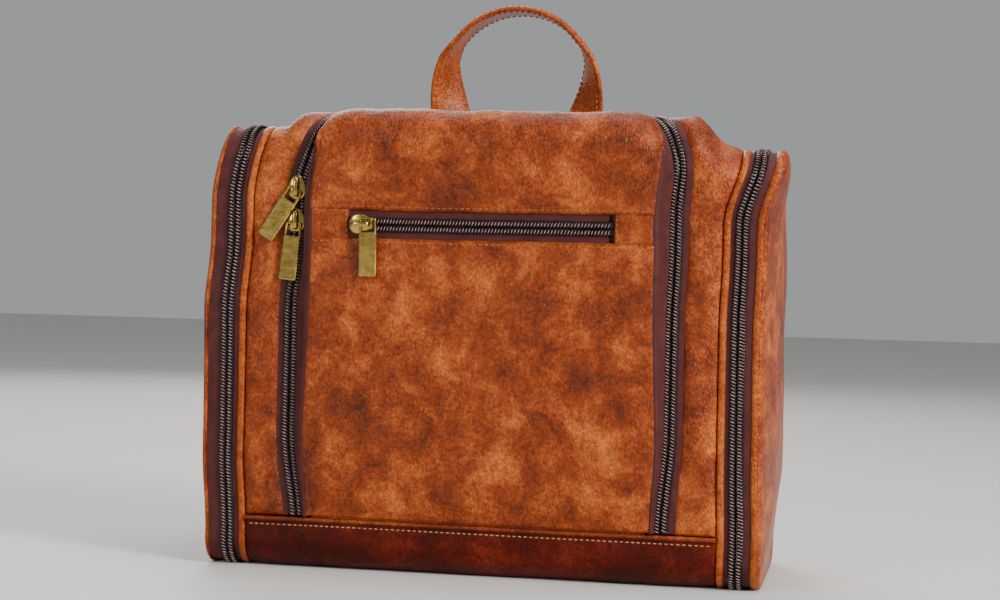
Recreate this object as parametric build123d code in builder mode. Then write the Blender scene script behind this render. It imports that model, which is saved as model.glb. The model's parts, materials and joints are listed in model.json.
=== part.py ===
from build123d import *
from math import cos, pi, radians, sin
import os

# Hanging toiletry bag: a boxy bag with a zipped front flap, two zipped side
# compartments, a carry handle on top and a fold-out hook on the back.
# Millimetres.  +X is the bag's right side seen from the front, -Y is the front,
# +Z is up, and the origin is on the ground under the middle of the bag.

# --- driving dimensions ---
FRONT = -51.0          # Y of the body's front face
BACK = 59.0            # Y of the body's back face
HEIGHT = 203.0         # height of the body
TOP_ROUND = 20.0       # radius of the front and back top edges
BOTTOM_ROUND = 14.0    # radius of the front and back bottom edges
WALL = 3.0             # leather, foam and backing together
CLOTH = 0.8            # lining and zip tape
GAP = 0.3              # room between pieces that move apart

BODY_EDGE = 110.0      # X where the body's panels end
SEAM_STRIP = 3.3       # width of the piped strip on the body side of a side zip
SIDE_ZIP = 118.5       # X of the middle of a side zip
CAP_EDGE = 129.0       # X where a side panel is sewn on
SIDE_BULGE = 135.0     # X of the outside of a side panel
FLAP_ZIP = 88.2        # X of the middle of the flap zip
FLAP_EDGE = 80.0       # half the width of the flap
BORDER_EDGE = 96.0     # X of the inner edge of the leather beside the flap zip
CHAIN = 3.2            # half the width of a zip's coil
COIL_PROUD = 0.9       # a closed coil stands this far above the leather
COIL_DEPTH = 2.0

BAND_TOP = 24.0        # the leather band round the foot of the bag
FLAP_BOTTOM = 24.8
FLAP_TOP = 213.0
FLAP_PROUD_LOW = 2.5   # how far the flap stands out in front at its foot
FLAP_PROUD_HIGH = 13.0 # and at its top
FLAP_DEPTH = 13.0      # how far the flap reaches back over the top edge
FLAP_TOP_ZIP = FRONT + 18.0
TOP_PANEL_FRONT = FRONT + 26.0
FLAP_CORNER = 14.0

POCKET_LOW = 153.5     # Z of the lower and upper edges of the front pocket's zip
POCKET_HIGH = 168.0
POCKET_END = 62.0      # X of the ends of that zip

LINING_INSET = 5.4     # depth of the main lining below the outside
PARTITION = 2.5
HINGE_X = BODY_EDGE + SEAM_STRIP + GAP
ZIP_END_ANGLE = 88.0   # a side zip ends this far round the back corners

PULL_REACH = 26.5      # from a pull's top bar to its tip
PULL_WIDTH = 8.2
HANDLE_Y = 28.0
HANDLE_BASE_Z = HEIGHT + 2.2
HANDLE_TOP = 272.5
STRAP_WIDTH = 20.0
STRAP_THICK = 3.0
BACK_CORNER_Y = BACK - TOP_ROUND
BACK_CORNER_Z = HEIGHT - TOP_ROUND

SIDES = (("left", -1), ("right", 1))


def save(piece, label):
    piece.part.label = label
    export_step(piece.part, f"parts/{label}.step")


def span(side, near, far):
    """The lower and upper X of a stretch given by its distances from the middle."""
    return (near, far) if side > 0 else (-far, -near)


def cut_box(x, y, z, mode=Mode.INTERSECT):
    """A box between pairs of coordinates, used to keep or remove a stretch."""
    middle = ((x[0] + x[1]) / 2, (y[0] + y[1]) / 2, (z[0] + z[1]) / 2)
    with Locations(middle):
        Box(x[1] - x[0], y[1] - y[0], z[1] - z[0], mode=mode)


def body_section(x, outer_inset, inner_inset=None):
    """A face across the body at one X, inset all round; with two insets it is a ring."""
    low, high = FRONT + outer_inset, BACK - outer_inset
    bottom, top = outer_inset, HEIGHT - outer_inset
    small, large = BOTTOM_ROUND - outer_inset, TOP_ROUND - outer_inset
    with BuildSketch(Plane.YZ.offset(x)) as section:
        with BuildLine():
            Line((high, bottom + small), (high, top - large))
            RadiusArc((high, top - large), (high - large, top), -large)
            Line((high - large, top), (low + large, top))
            RadiusArc((low + large, top), (low, top - large), -large)
            Line((low, top - large), (low, bottom + small))
            RadiusArc((low, bottom + small), (low + small, bottom), -small)
            Line((low + small, bottom), (high - small, bottom))
            RadiusArc((high - small, bottom), (high, bottom + small), -small)
        make_face()
        if inner_inset is not None:
            offset(amount=outer_inset - inner_inset, mode=Mode.SUBTRACT)
    return section.sketch


def wall_ring(x, outer_inset, inner_inset):
    """A ring of the body's wall between two X stations and two depths."""
    extrude(body_section(x[0], outer_inset, inner_inset), amount=x[1] - x[0])


def plate(x, inset):
    """A flat plate of the body's side view between two X stations."""
    extrude(body_section(x[0], inset), amount=x[1] - x[0])


def cut_back(x, angle):
    """Take the back of a ring away, beyond an angle round its two back corners."""
    foot_z, foot_y = BOTTOM_ROUND, BACK - BOTTOM_ROUND
    reach = 60.0
    turn = radians(angle)
    with BuildSketch(Plane.YZ.offset(x[0] - 1)) as wedge:
        with BuildLine():
            Polyline(
                (BACK_CORNER_Y, BACK_CORNER_Z),
                (BACK_CORNER_Y + reach * sin(turn), BACK_CORNER_Z + reach * cos(turn)),
                (foot_y + reach * sin(turn), foot_z - reach * cos(turn)),
                (foot_y, foot_z),
                close=True,
            )
        make_face()
    extrude(wedge.sketch, amount=x[1] - x[0] + 2, mode=Mode.SUBTRACT)


def flap_zip_band(outer_inset, inner_inset, near, far):
    """A U-shaped band beside the flap zip: up one side, over the top, down the other."""
    wall_ring((-far, far), outer_inset, inner_inset)
    behind = FLAP_TOP_ZIP + (far - FLAP_ZIP)
    cut_box((-far, far), (FRONT - 9, behind), (FLAP_BOTTOM, HEIGHT + 9))
    before = FLAP_TOP_ZIP + (near - FLAP_ZIP)
    cut_box((-near, near), (FRONT - 10, before), (0, HEIGHT + 10), Mode.SUBTRACT)


FLAP_TILT = (FLAP_PROUD_HIGH - FLAP_PROUD_LOW) / (FLAP_TOP - FLAP_BOTTOM)
FLAP_LENGTH = (1 + FLAP_TILT**2) ** 0.5
FACE = Plane(
    origin=(0, FRONT - FLAP_PROUD_LOW, FLAP_BOTTOM),
    x_dir=(1, 0, 0),
    z_dir=(0, -1 / FLAP_LENGTH, -FLAP_TILT / FLAP_LENGTH),
)


def up_face(z):
    """Distance up the flap's face for a height."""
    return (z - FLAP_BOTTOM) * FLAP_LENGTH


def flap_front_view(half_width, rounding):
    """The flap's front view with its two top corners rounded, as a deep block."""
    with BuildSketch(Plane.XZ.offset(-FRONT - 50)) as front_view:
        with Locations((0, (FLAP_BOTTOM + FLAP_TOP) / 2)):
            Rectangle(2 * half_width, FLAP_TOP - FLAP_BOTTOM)
        fillet(front_view.vertices().group_by(Axis.Y)[-1], rounding)
    return front_view.sketch


def flap_side_view(x):
    """The whole side view of the flap, from its face back to its rear edge."""
    rear = FRONT + FLAP_DEPTH
    with BuildSketch(Plane.YZ.offset(x)) as side_view:
        with BuildLine():
            FilletPolyline(
                (FRONT - FLAP_PROUD_LOW, FLAP_BOTTOM),
                (FRONT - FLAP_PROUD_HIGH, FLAP_TOP),
                (rear, FLAP_TOP),
                radius=FLAP_CORNER,
            )
            Polyline((rear, FLAP_TOP), (rear, FLAP_BOTTOM), (FRONT - FLAP_PROUD_LOW, FLAP_BOTTOM))
        make_face()
    return side_view.sketch


def flap_skin():
    """The flap's outer skin over its whole height, with rounded top corners."""
    rear = FRONT + FLAP_DEPTH
    inner_low = FRONT - FLAP_PROUD_LOW + WALL
    inner_high = FRONT - FLAP_PROUD_HIGH + WALL + FLAP_TILT * WALL
    with BuildSketch(Plane.YZ.offset(-FLAP_EDGE)) as hollow:
        with BuildLine():
            FilletPolyline(
                (rear + 1, FLAP_TOP - WALL),
                (inner_high, FLAP_TOP - WALL),
                (inner_low, FLAP_BOTTOM),
                radius=FLAP_CORNER - WALL,
            )
            Polyline((inner_low, FLAP_BOTTOM), (rear + 1, FLAP_BOTTOM), (rear + 1, FLAP_TOP - WALL))
        make_face()
    extrude(flap_side_view(-FLAP_EDGE), amount=2 * FLAP_EDGE)
    extrude(hollow.sketch, amount=2 * FLAP_EDGE, mode=Mode.SUBTRACT)
    extrude(flap_front_view(FLAP_EDGE, FLAP_CORNER), amount=120, mode=Mode.INTERSECT)


def on_face(x, up, depth):
    """A plate on the flap's face: X range, height range and depth range below the face."""
    low, high = up_face(up[0]), up_face(up[1])
    with BuildSketch(FACE.offset(-depth[1])) as shape:
        with Locations(((x[0] + x[1]) / 2, (low + high) / 2)):
            Rectangle(x[1] - x[0], high - low)
    extrude(shape.sketch, amount=depth[1] - depth[0])


# A zip slider, in the frame of the zip: local X runs along the chain, local Z stands
# off it, and the origin is on top of the coil.  The crown is the arch over its top.
SLIDER_LENGTH = 11.0
SLIDER_WIDTH = 9.4
SLIDER_NOSE = 6.4
PLATE_THICK = 1.2
CROWN_WIDTH = 2.4
CROWN_REACH = 3.6      # the crown's legs stand this far either side of the middle
CROWN_LEG = 1.5
CROWN_CLEAR = 2.2      # room under the crown for the pull's top bar
BAR_HEIGHT = GAP + PLATE_THICK + CROWN_CLEAR / 2
BAR_RADIUS = 0.65
ARM_WIDTH = 1.2
WINDOW = 6.0           # from the top bar down to the solid plate of a pull


def slider_shape(zip_frame):
    """Top plate, crown legs and crown bar of a slider."""
    half, wide, nose = SLIDER_LENGTH / 2, SLIDER_WIDTH / 2, SLIDER_NOSE / 2
    with BuildSketch(zip_frame.offset(GAP)) as plan:
        with BuildLine():
            Polyline(
                (-half, -nose), (-1.0, -wide), (2.0, -wide), (half, -nose),
                (half, nose), (2.0, wide), (-1.0, wide), (-half, nose), close=True,
            )
        make_face()
        fillet(plan.vertices(), 1.2)
    extrude(plan.sketch, amount=PLATE_THICK)
    with BuildSketch(zip_frame.offset(GAP + PLATE_THICK)) as legs:
        with Locations((-CROWN_REACH, 0), (CROWN_REACH, 0)):
            Rectangle(CROWN_LEG, CROWN_WIDTH)
    extrude(legs.sketch, amount=CROWN_CLEAR)
    with BuildSketch(zip_frame.offset(GAP + PLATE_THICK + CROWN_CLEAR)) as bar:
        Rectangle(2 * CROWN_REACH + CROWN_LEG, CROWN_WIDTH)
        fillet(bar.vertices(), 0.5)
    extrude(bar.sketch, amount=PLATE_THICK)


def pull_shape(pull_frame):
    """A pull: local X runs from its top bar to its tip, local Z is through the plate."""
    half, inner = PLATE_THICK / 2, PULL_WIDTH / 2 - ARM_WIDTH
    with BuildSketch(pull_frame.offset(-half)) as plan:
        with Locations((PULL_REACH / 2, 0)):
            Rectangle(PULL_REACH, PULL_WIDTH)
        with Locations((WINDOW / 2, 0)):
            Rectangle(WINDOW, 2 * inner, mode=Mode.SUBTRACT)
    extrude(plan.sketch, amount=PLATE_THICK)
    with BuildSketch(Plane(
        origin=pull_frame.from_local_coords((0, -PULL_WIDTH / 2, 0)),
        x_dir=pull_frame.x_dir,
        z_dir=pull_frame.y_dir,
    )) as end:
        Circle(BAR_RADIUS)
    extrude(end.sketch, amount=PULL_WIDTH)


os.makedirs("parts", exist_ok=True)

# ---------------------------------------------------------------- the body
with BuildPart() as base_panel:
    wall_ring((-BODY_EDGE, BODY_EDGE), 0, WALL)
    cut_box((-BODY_EDGE, BODY_EDGE), (FRONT, BACK), (0, BAND_TOP))
save(base_panel, "base_panel")

with BuildPart() as back_panel:
    body_x = (-BODY_EDGE, BODY_EDGE)
    cut_box(body_x, (BACK - WALL, BACK), (BAND_TOP, HEIGHT - TOP_ROUND), Mode.ADD)
save(back_panel, "back_panel")

with BuildPart() as top_panel:
    wall_ring((-BODY_EDGE, BODY_EDGE), 0, WALL)
    cut_box((-BODY_EDGE, BODY_EDGE), (TOP_PANEL_FRONT, BACK), (HEIGHT - TOP_ROUND, HEIGHT))
save(top_panel, "top_panel")

with BuildPart() as base_board:
    cut_box((-92, 92), (FRONT + 16, BACK - 16), (WALL, WALL + 1.6), Mode.ADD)
save(base_board, "base_board")

with BuildPart() as back_board:
    cut_box((-92, 92), (BACK - WALL - 1.6, BACK - WALL), (24, HEIGHT - 24), Mode.ADD)
save(back_board, "back_board")

with BuildPart() as main_lining:
    lined = (-BORDER_EDGE, BORDER_EDGE)
    wall_ring(lined, LINING_INSET - CLOTH, LINING_INSET)
    cut_box(lined, (FRONT - 1, TOP_PANEL_FRONT), (BAND_TOP, HEIGHT + 1), Mode.SUBTRACT)
save(main_lining, "main_lining")

with BuildPart() as bottle_band:
    rear_wall = BACK - LINING_INSET
    cut_box((-85, 85), (rear_wall - 1.2, rear_wall), (92, 118), Mode.ADD)
save(bottle_band, "bottle_band")

with BuildPart() as flap_zip_tape_outer:
    flap_zip_band(0.4, 0.4 + CLOTH, FLAP_ZIP + CHAIN, BORDER_EDGE)
save(flap_zip_tape_outer, "flap_zip_tape_outer")

with BuildPart() as flap_zip_coil_outer:
    flap_zip_band(-COIL_PROUD, COIL_DEPTH - COIL_PROUD, FLAP_ZIP + GAP / 2, FLAP_ZIP + CHAIN)
save(flap_zip_coil_outer, "flap_zip_coil_outer")

for name, side in SIDES:
    with BuildPart() as front_border:
        border = span(side, BORDER_EDGE, BODY_EDGE)
        wall_ring(border, 0, WALL)
        cut_box(border, (FRONT, TOP_PANEL_FRONT), (BAND_TOP, HEIGHT))
    save(front_border, f"front_border_{name}")

    with BuildPart() as seam_strip:
        wall_ring(span(side, BODY_EDGE, BODY_EDGE + SEAM_STRIP), 0, WALL)
    save(seam_strip, f"seam_strip_{name}")

    with BuildPart() as body_zip_tape:
        tape = span(side, BODY_EDGE + SEAM_STRIP, SIDE_ZIP - CHAIN)
        wall_ring(tape, 0.4, 0.4 + CLOTH)
        cut_back(tape, ZIP_END_ANGLE)
    save(body_zip_tape, f"side_zip_tape_{name}_inner")

    with BuildPart() as body_zip_coil:
        coil = span(side, SIDE_ZIP - CHAIN, SIDE_ZIP - GAP / 2)
        wall_ring(coil, -COIL_PROUD + 1.3, COIL_DEPTH - COIL_PROUD + 0.3)
        cut_back(coil, ZIP_END_ANGLE)
    save(body_zip_coil, f"side_zip_coil_{name}_inner")

    with BuildPart() as partition:
        wall = span(side, BORDER_EDGE, BORDER_EDGE + PARTITION)
        plate(wall, WALL)
    save(partition, f"partition_{name}")

    with BuildPart() as side_lining:
        lined = span(side, BORDER_EDGE + PARTITION, BODY_EDGE + SEAM_STRIP)
        wall_ring(lined, WALL, WALL + CLOTH)
    save(side_lining, f"side_lining_{name}")

    with BuildPart() as brush_band:
        outside = BORDER_EDGE + PARTITION
        cut_box(span(side, outside, outside + 1.2), (-28, 38), (82, 108), Mode.ADD)
    save(brush_band, f"brush_band_{name}")

# ------------------------------------------------------------- the side caps
for name, side in SIDES:
    with BuildPart() as cap_strip:
        wall_ring(span(side, SIDE_ZIP + CHAIN + 3.4, CAP_EDGE), 0, WALL)
        hinge_panel = span(side, HINGE_X + GAP, CAP_EDGE)
        cut_box(hinge_panel, (BACK - WALL, BACK), (BOTTOM_ROUND + 3, BACK_CORNER_Z - 3), Mode.ADD)
    save(cap_strip, f"cap_strip_{name}")

    with BuildPart() as cap_zip_tape:
        tape = span(side, SIDE_ZIP + CHAIN, SIDE_ZIP + CHAIN + 3.4)
        wall_ring(tape, 0.4, 0.4 + CLOTH)
        cut_back(tape, ZIP_END_ANGLE)
    save(cap_zip_tape, f"side_zip_tape_{name}_outer")

    with BuildPart() as cap_zip_coil:
        coil = span(side, SIDE_ZIP + GAP / 2, SIDE_ZIP + CHAIN)
        wall_ring(coil, -COIL_PROUD + 1.3, COIL_DEPTH - COIL_PROUD + 0.3)
        cut_back(coil, ZIP_END_ANGLE)
    save(cap_zip_coil, f"side_zip_coil_{name}_outer")

    with BuildPart() as side_panel:
        panel = span(side, CAP_EDGE, SIDE_BULGE)
        plate(panel, 0)
        outside = side_panel.faces().sort_by(Axis.X)[-1 if side > 0 else 0]
        fillet(outside.edges(), 4.5)
    save(side_panel, f"side_panel_{name}")

    with BuildPart() as cap_lining:
        plate(span(side, CAP_EDGE - CLOTH, CAP_EDGE), WALL)
    save(cap_lining, f"cap_lining_{name}")

# ------------------------------------------------------------- the front flap
with BuildPart() as flap_panel_upper:
    flap_skin()
    cut_box((-90, 90), (FRONT - 30, FRONT + 40), (POCKET_HIGH, FLAP_TOP + 1))
save(flap_panel_upper, "flap_panel_upper")

with BuildPart() as flap_panel_lower:
    flap_skin()
    cut_box((-90, 90), (FRONT - 30, FRONT + 40), (FLAP_BOTTOM - 1, POCKET_LOW))
save(flap_panel_lower, "flap_panel_lower")

SLOT = (POCKET_LOW + 0.3, POCKET_HIGH - 0.3)
for name, side in SIDES:
    with BuildPart() as pocket_tab:
        on_face(span(side, POCKET_END, FLAP_EDGE), SLOT, (0.3, WALL - 0.2))
    save(pocket_tab, f"pocket_tab_{name}")

POCKET_ZIP_Z = (POCKET_LOW + POCKET_HIGH) / 2
with BuildPart() as pocket_zip_tape:
    tape_depth = (1.6, 1.6 + CLOTH)
    on_face((-POCKET_END, POCKET_END), SLOT, tape_depth)
save(pocket_zip_tape, "pocket_zip_tape")

with BuildPart() as pocket_zip_coil:
    for row in (-1, 1):
        middle = POCKET_ZIP_Z + row * (CHAIN / 2 + 0.1)
        teeth = (middle - CHAIN / 2, middle + CHAIN / 2)
        on_face((-POCKET_END + 0.5, POCKET_END - 0.5), teeth, (-0.2, 1.6))
save(pocket_zip_coil, "pocket_zip_coil")

with BuildPart() as pocket_bag:
    on_face((-74, 74), (36, 178), (WALL + 0.2, WALL + 1.4))
save(pocket_bag, "pocket_bag")

with BuildPart() as flap_lining:
    on_face((-79, 79), (FLAP_BOTTOM + 0.5, 196), (WALL + 1.6, WALL + 1.6 + CLOTH))
save(flap_lining, "flap_lining")

with BuildPart() as flap_mesh_pocket:
    on_face((-72, 72), (34, 120), (WALL + 2.6, WALL + 3.4))
save(flap_mesh_pocket, "flap_mesh_pocket")

# The zip's tape on the flap's side rises off the body as the gusset.
with BuildPart() as flap_tape:
    flap_zip_band(-COIL_PROUD, -0.1, FLAP_EDGE, FLAP_ZIP - CHAIN)

with BuildPart() as flap_gusset:
    extrude(flap_side_view(-FLAP_EDGE - 1), amount=2 * FLAP_EDGE + 2)
    extrude(flap_front_view(FLAP_EDGE + 1, FLAP_CORNER + 1), amount=120, mode=Mode.INTERSECT)
    extrude(flap_front_view(FLAP_EDGE, FLAP_CORNER), amount=120, mode=Mode.SUBTRACT)
    cut_box(
        (-FLAP_EDGE + 8, FLAP_EDGE - 8),
        (FRONT + FLAP_DEPTH, FRONT + FLAP_DEPTH + 1),
        (HEIGHT - 5, FLAP_TOP - 0.5),
        Mode.ADD,
    )
    extrude(body_section(-FLAP_EDGE - 2, -0.1), amount=2 * FLAP_EDGE + 4, mode=Mode.SUBTRACT)
    add(flap_tape.part)
save(flap_gusset, "flap_gusset")

with BuildPart() as flap_zip_coil_inner:
    flap_zip_band(-COIL_PROUD, COIL_DEPTH - COIL_PROUD, FLAP_ZIP - CHAIN, FLAP_ZIP - GAP / 2)
save(flap_zip_coil_inner, "flap_zip_coil_inner")

# ------------------------------------------------------------ sliders and pulls
# (name, middle of the coil's top, along the chain, off the chain,
#  pull's direction, place of the pull's top bar along and across the chain)
back_turn = radians(72.0)
back_off = (0, sin(back_turn), cos(back_turn))
back_along = (0, cos(back_turn), -sin(back_turn))
back_reach = TOP_ROUND - 0.4
back_spot = (BACK_CORNER_Y + back_reach * sin(back_turn), BACK_CORNER_Z + back_reach * cos(back_turn))
swing = radians(33.0)
lean = radians(12.7)
tilt = radians(6.0)
coil_face = FRONT - COIL_PROUD
SLIDERS = {
    "flap_slider_upper": ((-FLAP_ZIP, coil_face, 177.5), (0, 0, 1), (0, -1, 0),
                          (-sin(swing), 0, -cos(swing)), (-1.1, 0)),
    "flap_slider_lower": ((-FLAP_ZIP, coil_face, 162.3), (0, 0, 1), (0, -1, 0),
                          (-sin(tilt), 0, -cos(tilt)), (-1.5, 0.5)),
    "side_slider_left": ((-SIDE_ZIP, *back_spot), back_along, back_off,
                         (0, sin(lean), -cos(lean)), (1.2, 0)),
    "side_slider_right": ((SIDE_ZIP, *back_spot), back_along, back_off,
                          (0, sin(lean), -cos(lean)), (1.2, 0)),
}
for name, (spot, along, off, hang, bar_at) in SLIDERS.items():
    zip_frame = Plane(origin=spot, x_dir=along, z_dir=off)
    with BuildPart() as slider:
        slider_shape(zip_frame)
    save(slider, name)

    bar_spot = zip_frame.from_local_coords((*bar_at, BAR_HEIGHT))
    bar_axis = Vector(*off).cross(Vector(*hang)).normalized()
    with BuildPart() as pull:
        pull_shape(Plane(origin=bar_spot, x_dir=hang, z_dir=Vector(*hang).cross(bar_axis)))
    save(pull, name.replace("slider", "pull"))

pocket_spot = FACE.from_local_coords((-54.5, up_face(POCKET_ZIP_Z), 0.2))
pocket_frame = Plane(origin=pocket_spot, x_dir=(1, 0, 0), z_dir=FACE.z_dir)
with BuildPart() as pocket_slider:
    slider_shape(pocket_frame)
save(pocket_slider, "pocket_slider")

LEG_TO_BAR = 2.6       # the pocket pull hangs from a leg of its slider's crown
bar_spot = pocket_frame.from_local_coords((CROWN_REACH, LEG_TO_BAR, BAR_HEIGHT))
with BuildPart() as pocket_pull:
    pull_shape(Plane(origin=bar_spot, x_dir=-FACE.y_dir, z_dir=FACE.z_dir))
save(pocket_pull, "pocket_pull")

# ------------------------------------------------------------ handle and hook
HANDLE_SPREAD_BASE = 31.0
HANDLE_SPREAD_TOP = 40.0
HANDLE_TWIST_RISE = 0.75   # the strap turns edge-on over this share of its rise


def handle_station(t):
    """A cross-section of the handle's strap, t from 0 at the left foot to 1 at the right."""
    rise = HANDLE_TOP - STRAP_THICK / 2 - HANDLE_BASE_Z
    turn = pi * t
    level = sin(turn) ** 0.62
    spread = HANDLE_SPREAD_BASE + (HANDLE_SPREAD_TOP - HANDLE_SPREAD_BASE) * min(1, level * 1.6)
    return Vector(-spread * cos(turn), HANDLE_Y, HANDLE_BASE_Z + rise * level)


STATIONS = 24
with BuildPart() as handle_strap:
    for foot in (-HANDLE_SPREAD_BASE, HANDLE_SPREAD_BASE):
        with BuildSketch(Plane.YZ.offset(foot - STRAP_WIDTH / 2)):
            with Locations((HANDLE_Y, HANDLE_BASE_Z)):
                Circle(STRAP_THICK / 2)
        extrude(amount=STRAP_WIDTH)
    for i in range(STATIONS + 1):
        t = i / STATIONS
        here = handle_station(t)
        ahead = handle_station(min(1, t + 0.01)) - handle_station(max(0, t - 0.01))
        if i in (0, STATIONS):
            ahead = Vector(0, 0, 1 if i == 0 else -1)
        rise = (here.Z - HANDLE_BASE_Z) / (HANDLE_TOP - HANDLE_BASE_Z)
        twist = 90.0 * (1 - min(1, rise / HANDLE_TWIST_RISE))
        across = Vector(0, 1, 0).rotate(Axis((0, 0, 0), ahead), -twist)
        with BuildSketch(Plane(origin=here, x_dir=across, z_dir=ahead)):
            Rectangle(STRAP_WIDTH, STRAP_THICK)
    loft(ruled=True)
save(handle_strap, "handle_strap")

with BuildPart() as handle_anchors:
    with BuildSketch(Plane.XY.offset(HEIGHT)):
        with Locations((-HANDLE_SPREAD_BASE, HANDLE_Y), (HANDLE_SPREAD_BASE, HANDLE_Y)):
            RectangleRounded(26, 14, 2)
    extrude(amount=0.5)
save(handle_anchors, "handle_anchors")

HOOK_HINGE_Z = 182.0
STRAP_LOW = 150.0
STRAP_BACK = BACK + 1.6
HOOK_STRAP_THICK = 2.2
HINGE_Y = STRAP_BACK + HOOK_STRAP_THICK / 2
RING_Y = BACK + 3.6
RING_TOP, RING_LOW = 148.0, 136.0
RING_WIRE = 1.25
HOOK_WIRE = 1.9
HOOK_REACH = 15.0
EYE_BORE = RING_WIRE + 0.08

with BuildPart() as hook_anchor:
    cut_box((-14, 14), (BACK, BACK + 1.2), (160, 181.5), Mode.ADD)
    fillet(hook_anchor.edges().filter_by(Axis.Y), 2)
save(hook_anchor, "hook_anchor")

with BuildPart() as hook_strap:
    with BuildSketch(Plane.YZ.offset(-STRAP_WIDTH / 2)):
        with Locations((HINGE_Y, (HOOK_HINGE_Z + STRAP_LOW) / 2)):
            Rectangle(HOOK_STRAP_THICK, HOOK_HINGE_Z - STRAP_LOW)
        with Locations((HINGE_Y, HOOK_HINGE_Z)):
            Circle(HOOK_STRAP_THICK / 2)
        with Locations((RING_Y, RING_TOP)):
            Circle(2.9)
            Circle(RING_WIRE + 0.3, mode=Mode.SUBTRACT)
    extrude(amount=STRAP_WIDTH)
save(hook_strap, "hook_strap")

with BuildSketch(Plane.XZ.offset(-RING_Y)) as ring_plan:
    with Locations((0, (RING_TOP + RING_LOW) / 2)):
        RectangleRounded(26, RING_TOP - RING_LOW, 2.5)
ring_path = ring_plan.sketch.face().outer_wire()

with BuildPart() as hook_ring:
    with BuildSketch(Plane(origin=ring_path @ 0, z_dir=ring_path % 0)):
        Circle(RING_WIRE)
    sweep(path=ring_path)
save(hook_ring, "hook_ring")

with BuildPart() as hanging_hook:
    with BuildLine(Plane.XZ.offset(-RING_Y)) as hook_path:
        FilletPolyline(
            (0, RING_LOW - 2.4), (0, RING_LOW - 8), (-HOOK_REACH, RING_LOW - 20),
            (-HOOK_REACH, RING_LOW - 32), radius=5,
        )
        ThreePointArc(
            (-HOOK_REACH, RING_LOW - 32),
            (0, RING_LOW - 32 - HOOK_REACH),
            (HOOK_REACH, RING_LOW - 32),
        )
        Line((HOOK_REACH, RING_LOW - 32), (HOOK_REACH, RING_LOW - 22))
    with BuildSketch(Plane.XY.offset(RING_LOW - 2.4)):
        with Locations((0, RING_Y)):
            Circle(HOOK_WIRE)
    sweep()
    with Locations((HOOK_REACH, RING_Y, RING_LOW - 22)):
        Sphere(HOOK_WIRE + 0.5)
    with BuildSketch(Plane.YZ.offset(-4)):
        with Locations((RING_Y, RING_LOW)):
            Circle(3.2)
    extrude(amount=8)
    with BuildSketch(Plane.YZ.offset(-5)):
        with Locations((RING_Y, RING_LOW)):
            Circle(EYE_BORE)
    extrude(amount=10, mode=Mode.SUBTRACT)
save(hanging_hook, "hanging_hook")
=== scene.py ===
import json
from math import atan, cos, pi, radians, sin, tan

import bmesh
import bpy
import numpy as np
from mathutils import Matrix, Vector


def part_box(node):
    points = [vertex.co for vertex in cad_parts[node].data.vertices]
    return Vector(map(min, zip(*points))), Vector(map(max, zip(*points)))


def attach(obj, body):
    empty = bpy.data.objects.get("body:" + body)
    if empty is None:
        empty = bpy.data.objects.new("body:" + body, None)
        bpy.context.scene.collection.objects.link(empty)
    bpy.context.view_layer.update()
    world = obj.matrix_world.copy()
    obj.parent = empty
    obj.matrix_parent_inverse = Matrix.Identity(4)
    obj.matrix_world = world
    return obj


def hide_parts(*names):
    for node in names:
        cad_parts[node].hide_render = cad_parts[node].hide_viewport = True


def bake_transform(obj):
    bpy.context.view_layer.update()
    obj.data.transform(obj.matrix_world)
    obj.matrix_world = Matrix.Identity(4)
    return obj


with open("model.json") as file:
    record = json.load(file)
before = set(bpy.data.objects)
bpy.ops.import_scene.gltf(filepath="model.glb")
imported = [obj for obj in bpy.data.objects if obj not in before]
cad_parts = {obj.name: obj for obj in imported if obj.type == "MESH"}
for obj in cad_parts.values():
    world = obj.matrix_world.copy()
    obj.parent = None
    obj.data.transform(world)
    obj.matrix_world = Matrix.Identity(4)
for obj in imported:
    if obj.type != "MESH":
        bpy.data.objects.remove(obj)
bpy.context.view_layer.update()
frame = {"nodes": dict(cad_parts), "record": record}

# Sizes are in millimetres in this script's own arithmetic, and MM turns them into
# Blender's metres where a mesh is made.
MM = 0.001


def low(node, axis):
    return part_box(node)[0][axis] / MM


def high(node, axis):
    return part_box(node)[1][axis] / MM


# --- places read from the frame ---
FRONT = low("base_panel", 1)
BACK = high("base_panel", 1)
HEIGHT = high("top_panel", 2)
BAND_TOP = high("base_panel", 2)
BODY_EDGE = high("base_panel", 0)
SEAM_EDGE = high("seam_strip_right", 0)
SIDE_ZIP = (low("side_zip_coil_right_inner", 0) + high("side_zip_coil_right_outer", 0)) / 2
CAP_STRIP = high("side_zip_tape_right_outer", 0)
CAP_EDGE = high("cap_strip_right", 0)
SIDE_BULGE = high("side_panel_right", 0)
FLAP_EDGE = high("flap_panel_lower", 0)
FLAP_ZIP = high("flap_zip_coil_inner", 0) + 0.15    # its coils stand 0.3 mm apart
BORDER_EDGE = low("front_border_right", 0)
TOP_PANEL_FRONT = low("top_panel", 1)
FLAP_BOTTOM = low("flap_panel_lower", 2)
FLAP_TOP = high("flap_panel_upper", 2)
FLAP_REAR = high("flap_panel_upper", 1)
POCKET_LOW = high("flap_panel_lower", 2)
POCKET_HIGH = low("flap_panel_upper", 2)
POCKET_END = high("pocket_zip_tape", 0)
HANDLE_Y = (low("handle_strap", 1) + high("handle_strap", 1)) / 2
HANDLE_TOP = high("handle_strap", 2)

# --- sizes shared with the CAD model ---
TOP_ROUND = 20.0
BOTTOM_ROUND = 14.0
FLAP_FOOT_Y = FRONT - 2.5
FLAP_HEAD_Y = FRONT - 13.0
FLAP_ROUND = 14.0
FACE_TILT = atan((FLAP_FOOT_Y - FLAP_HEAD_Y) / (FLAP_TOP - FLAP_BOTTOM))
ZIP_END_ANGLE = 88.0
CHAIN = 3.2
COIL_PITCH = 1.5

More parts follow.
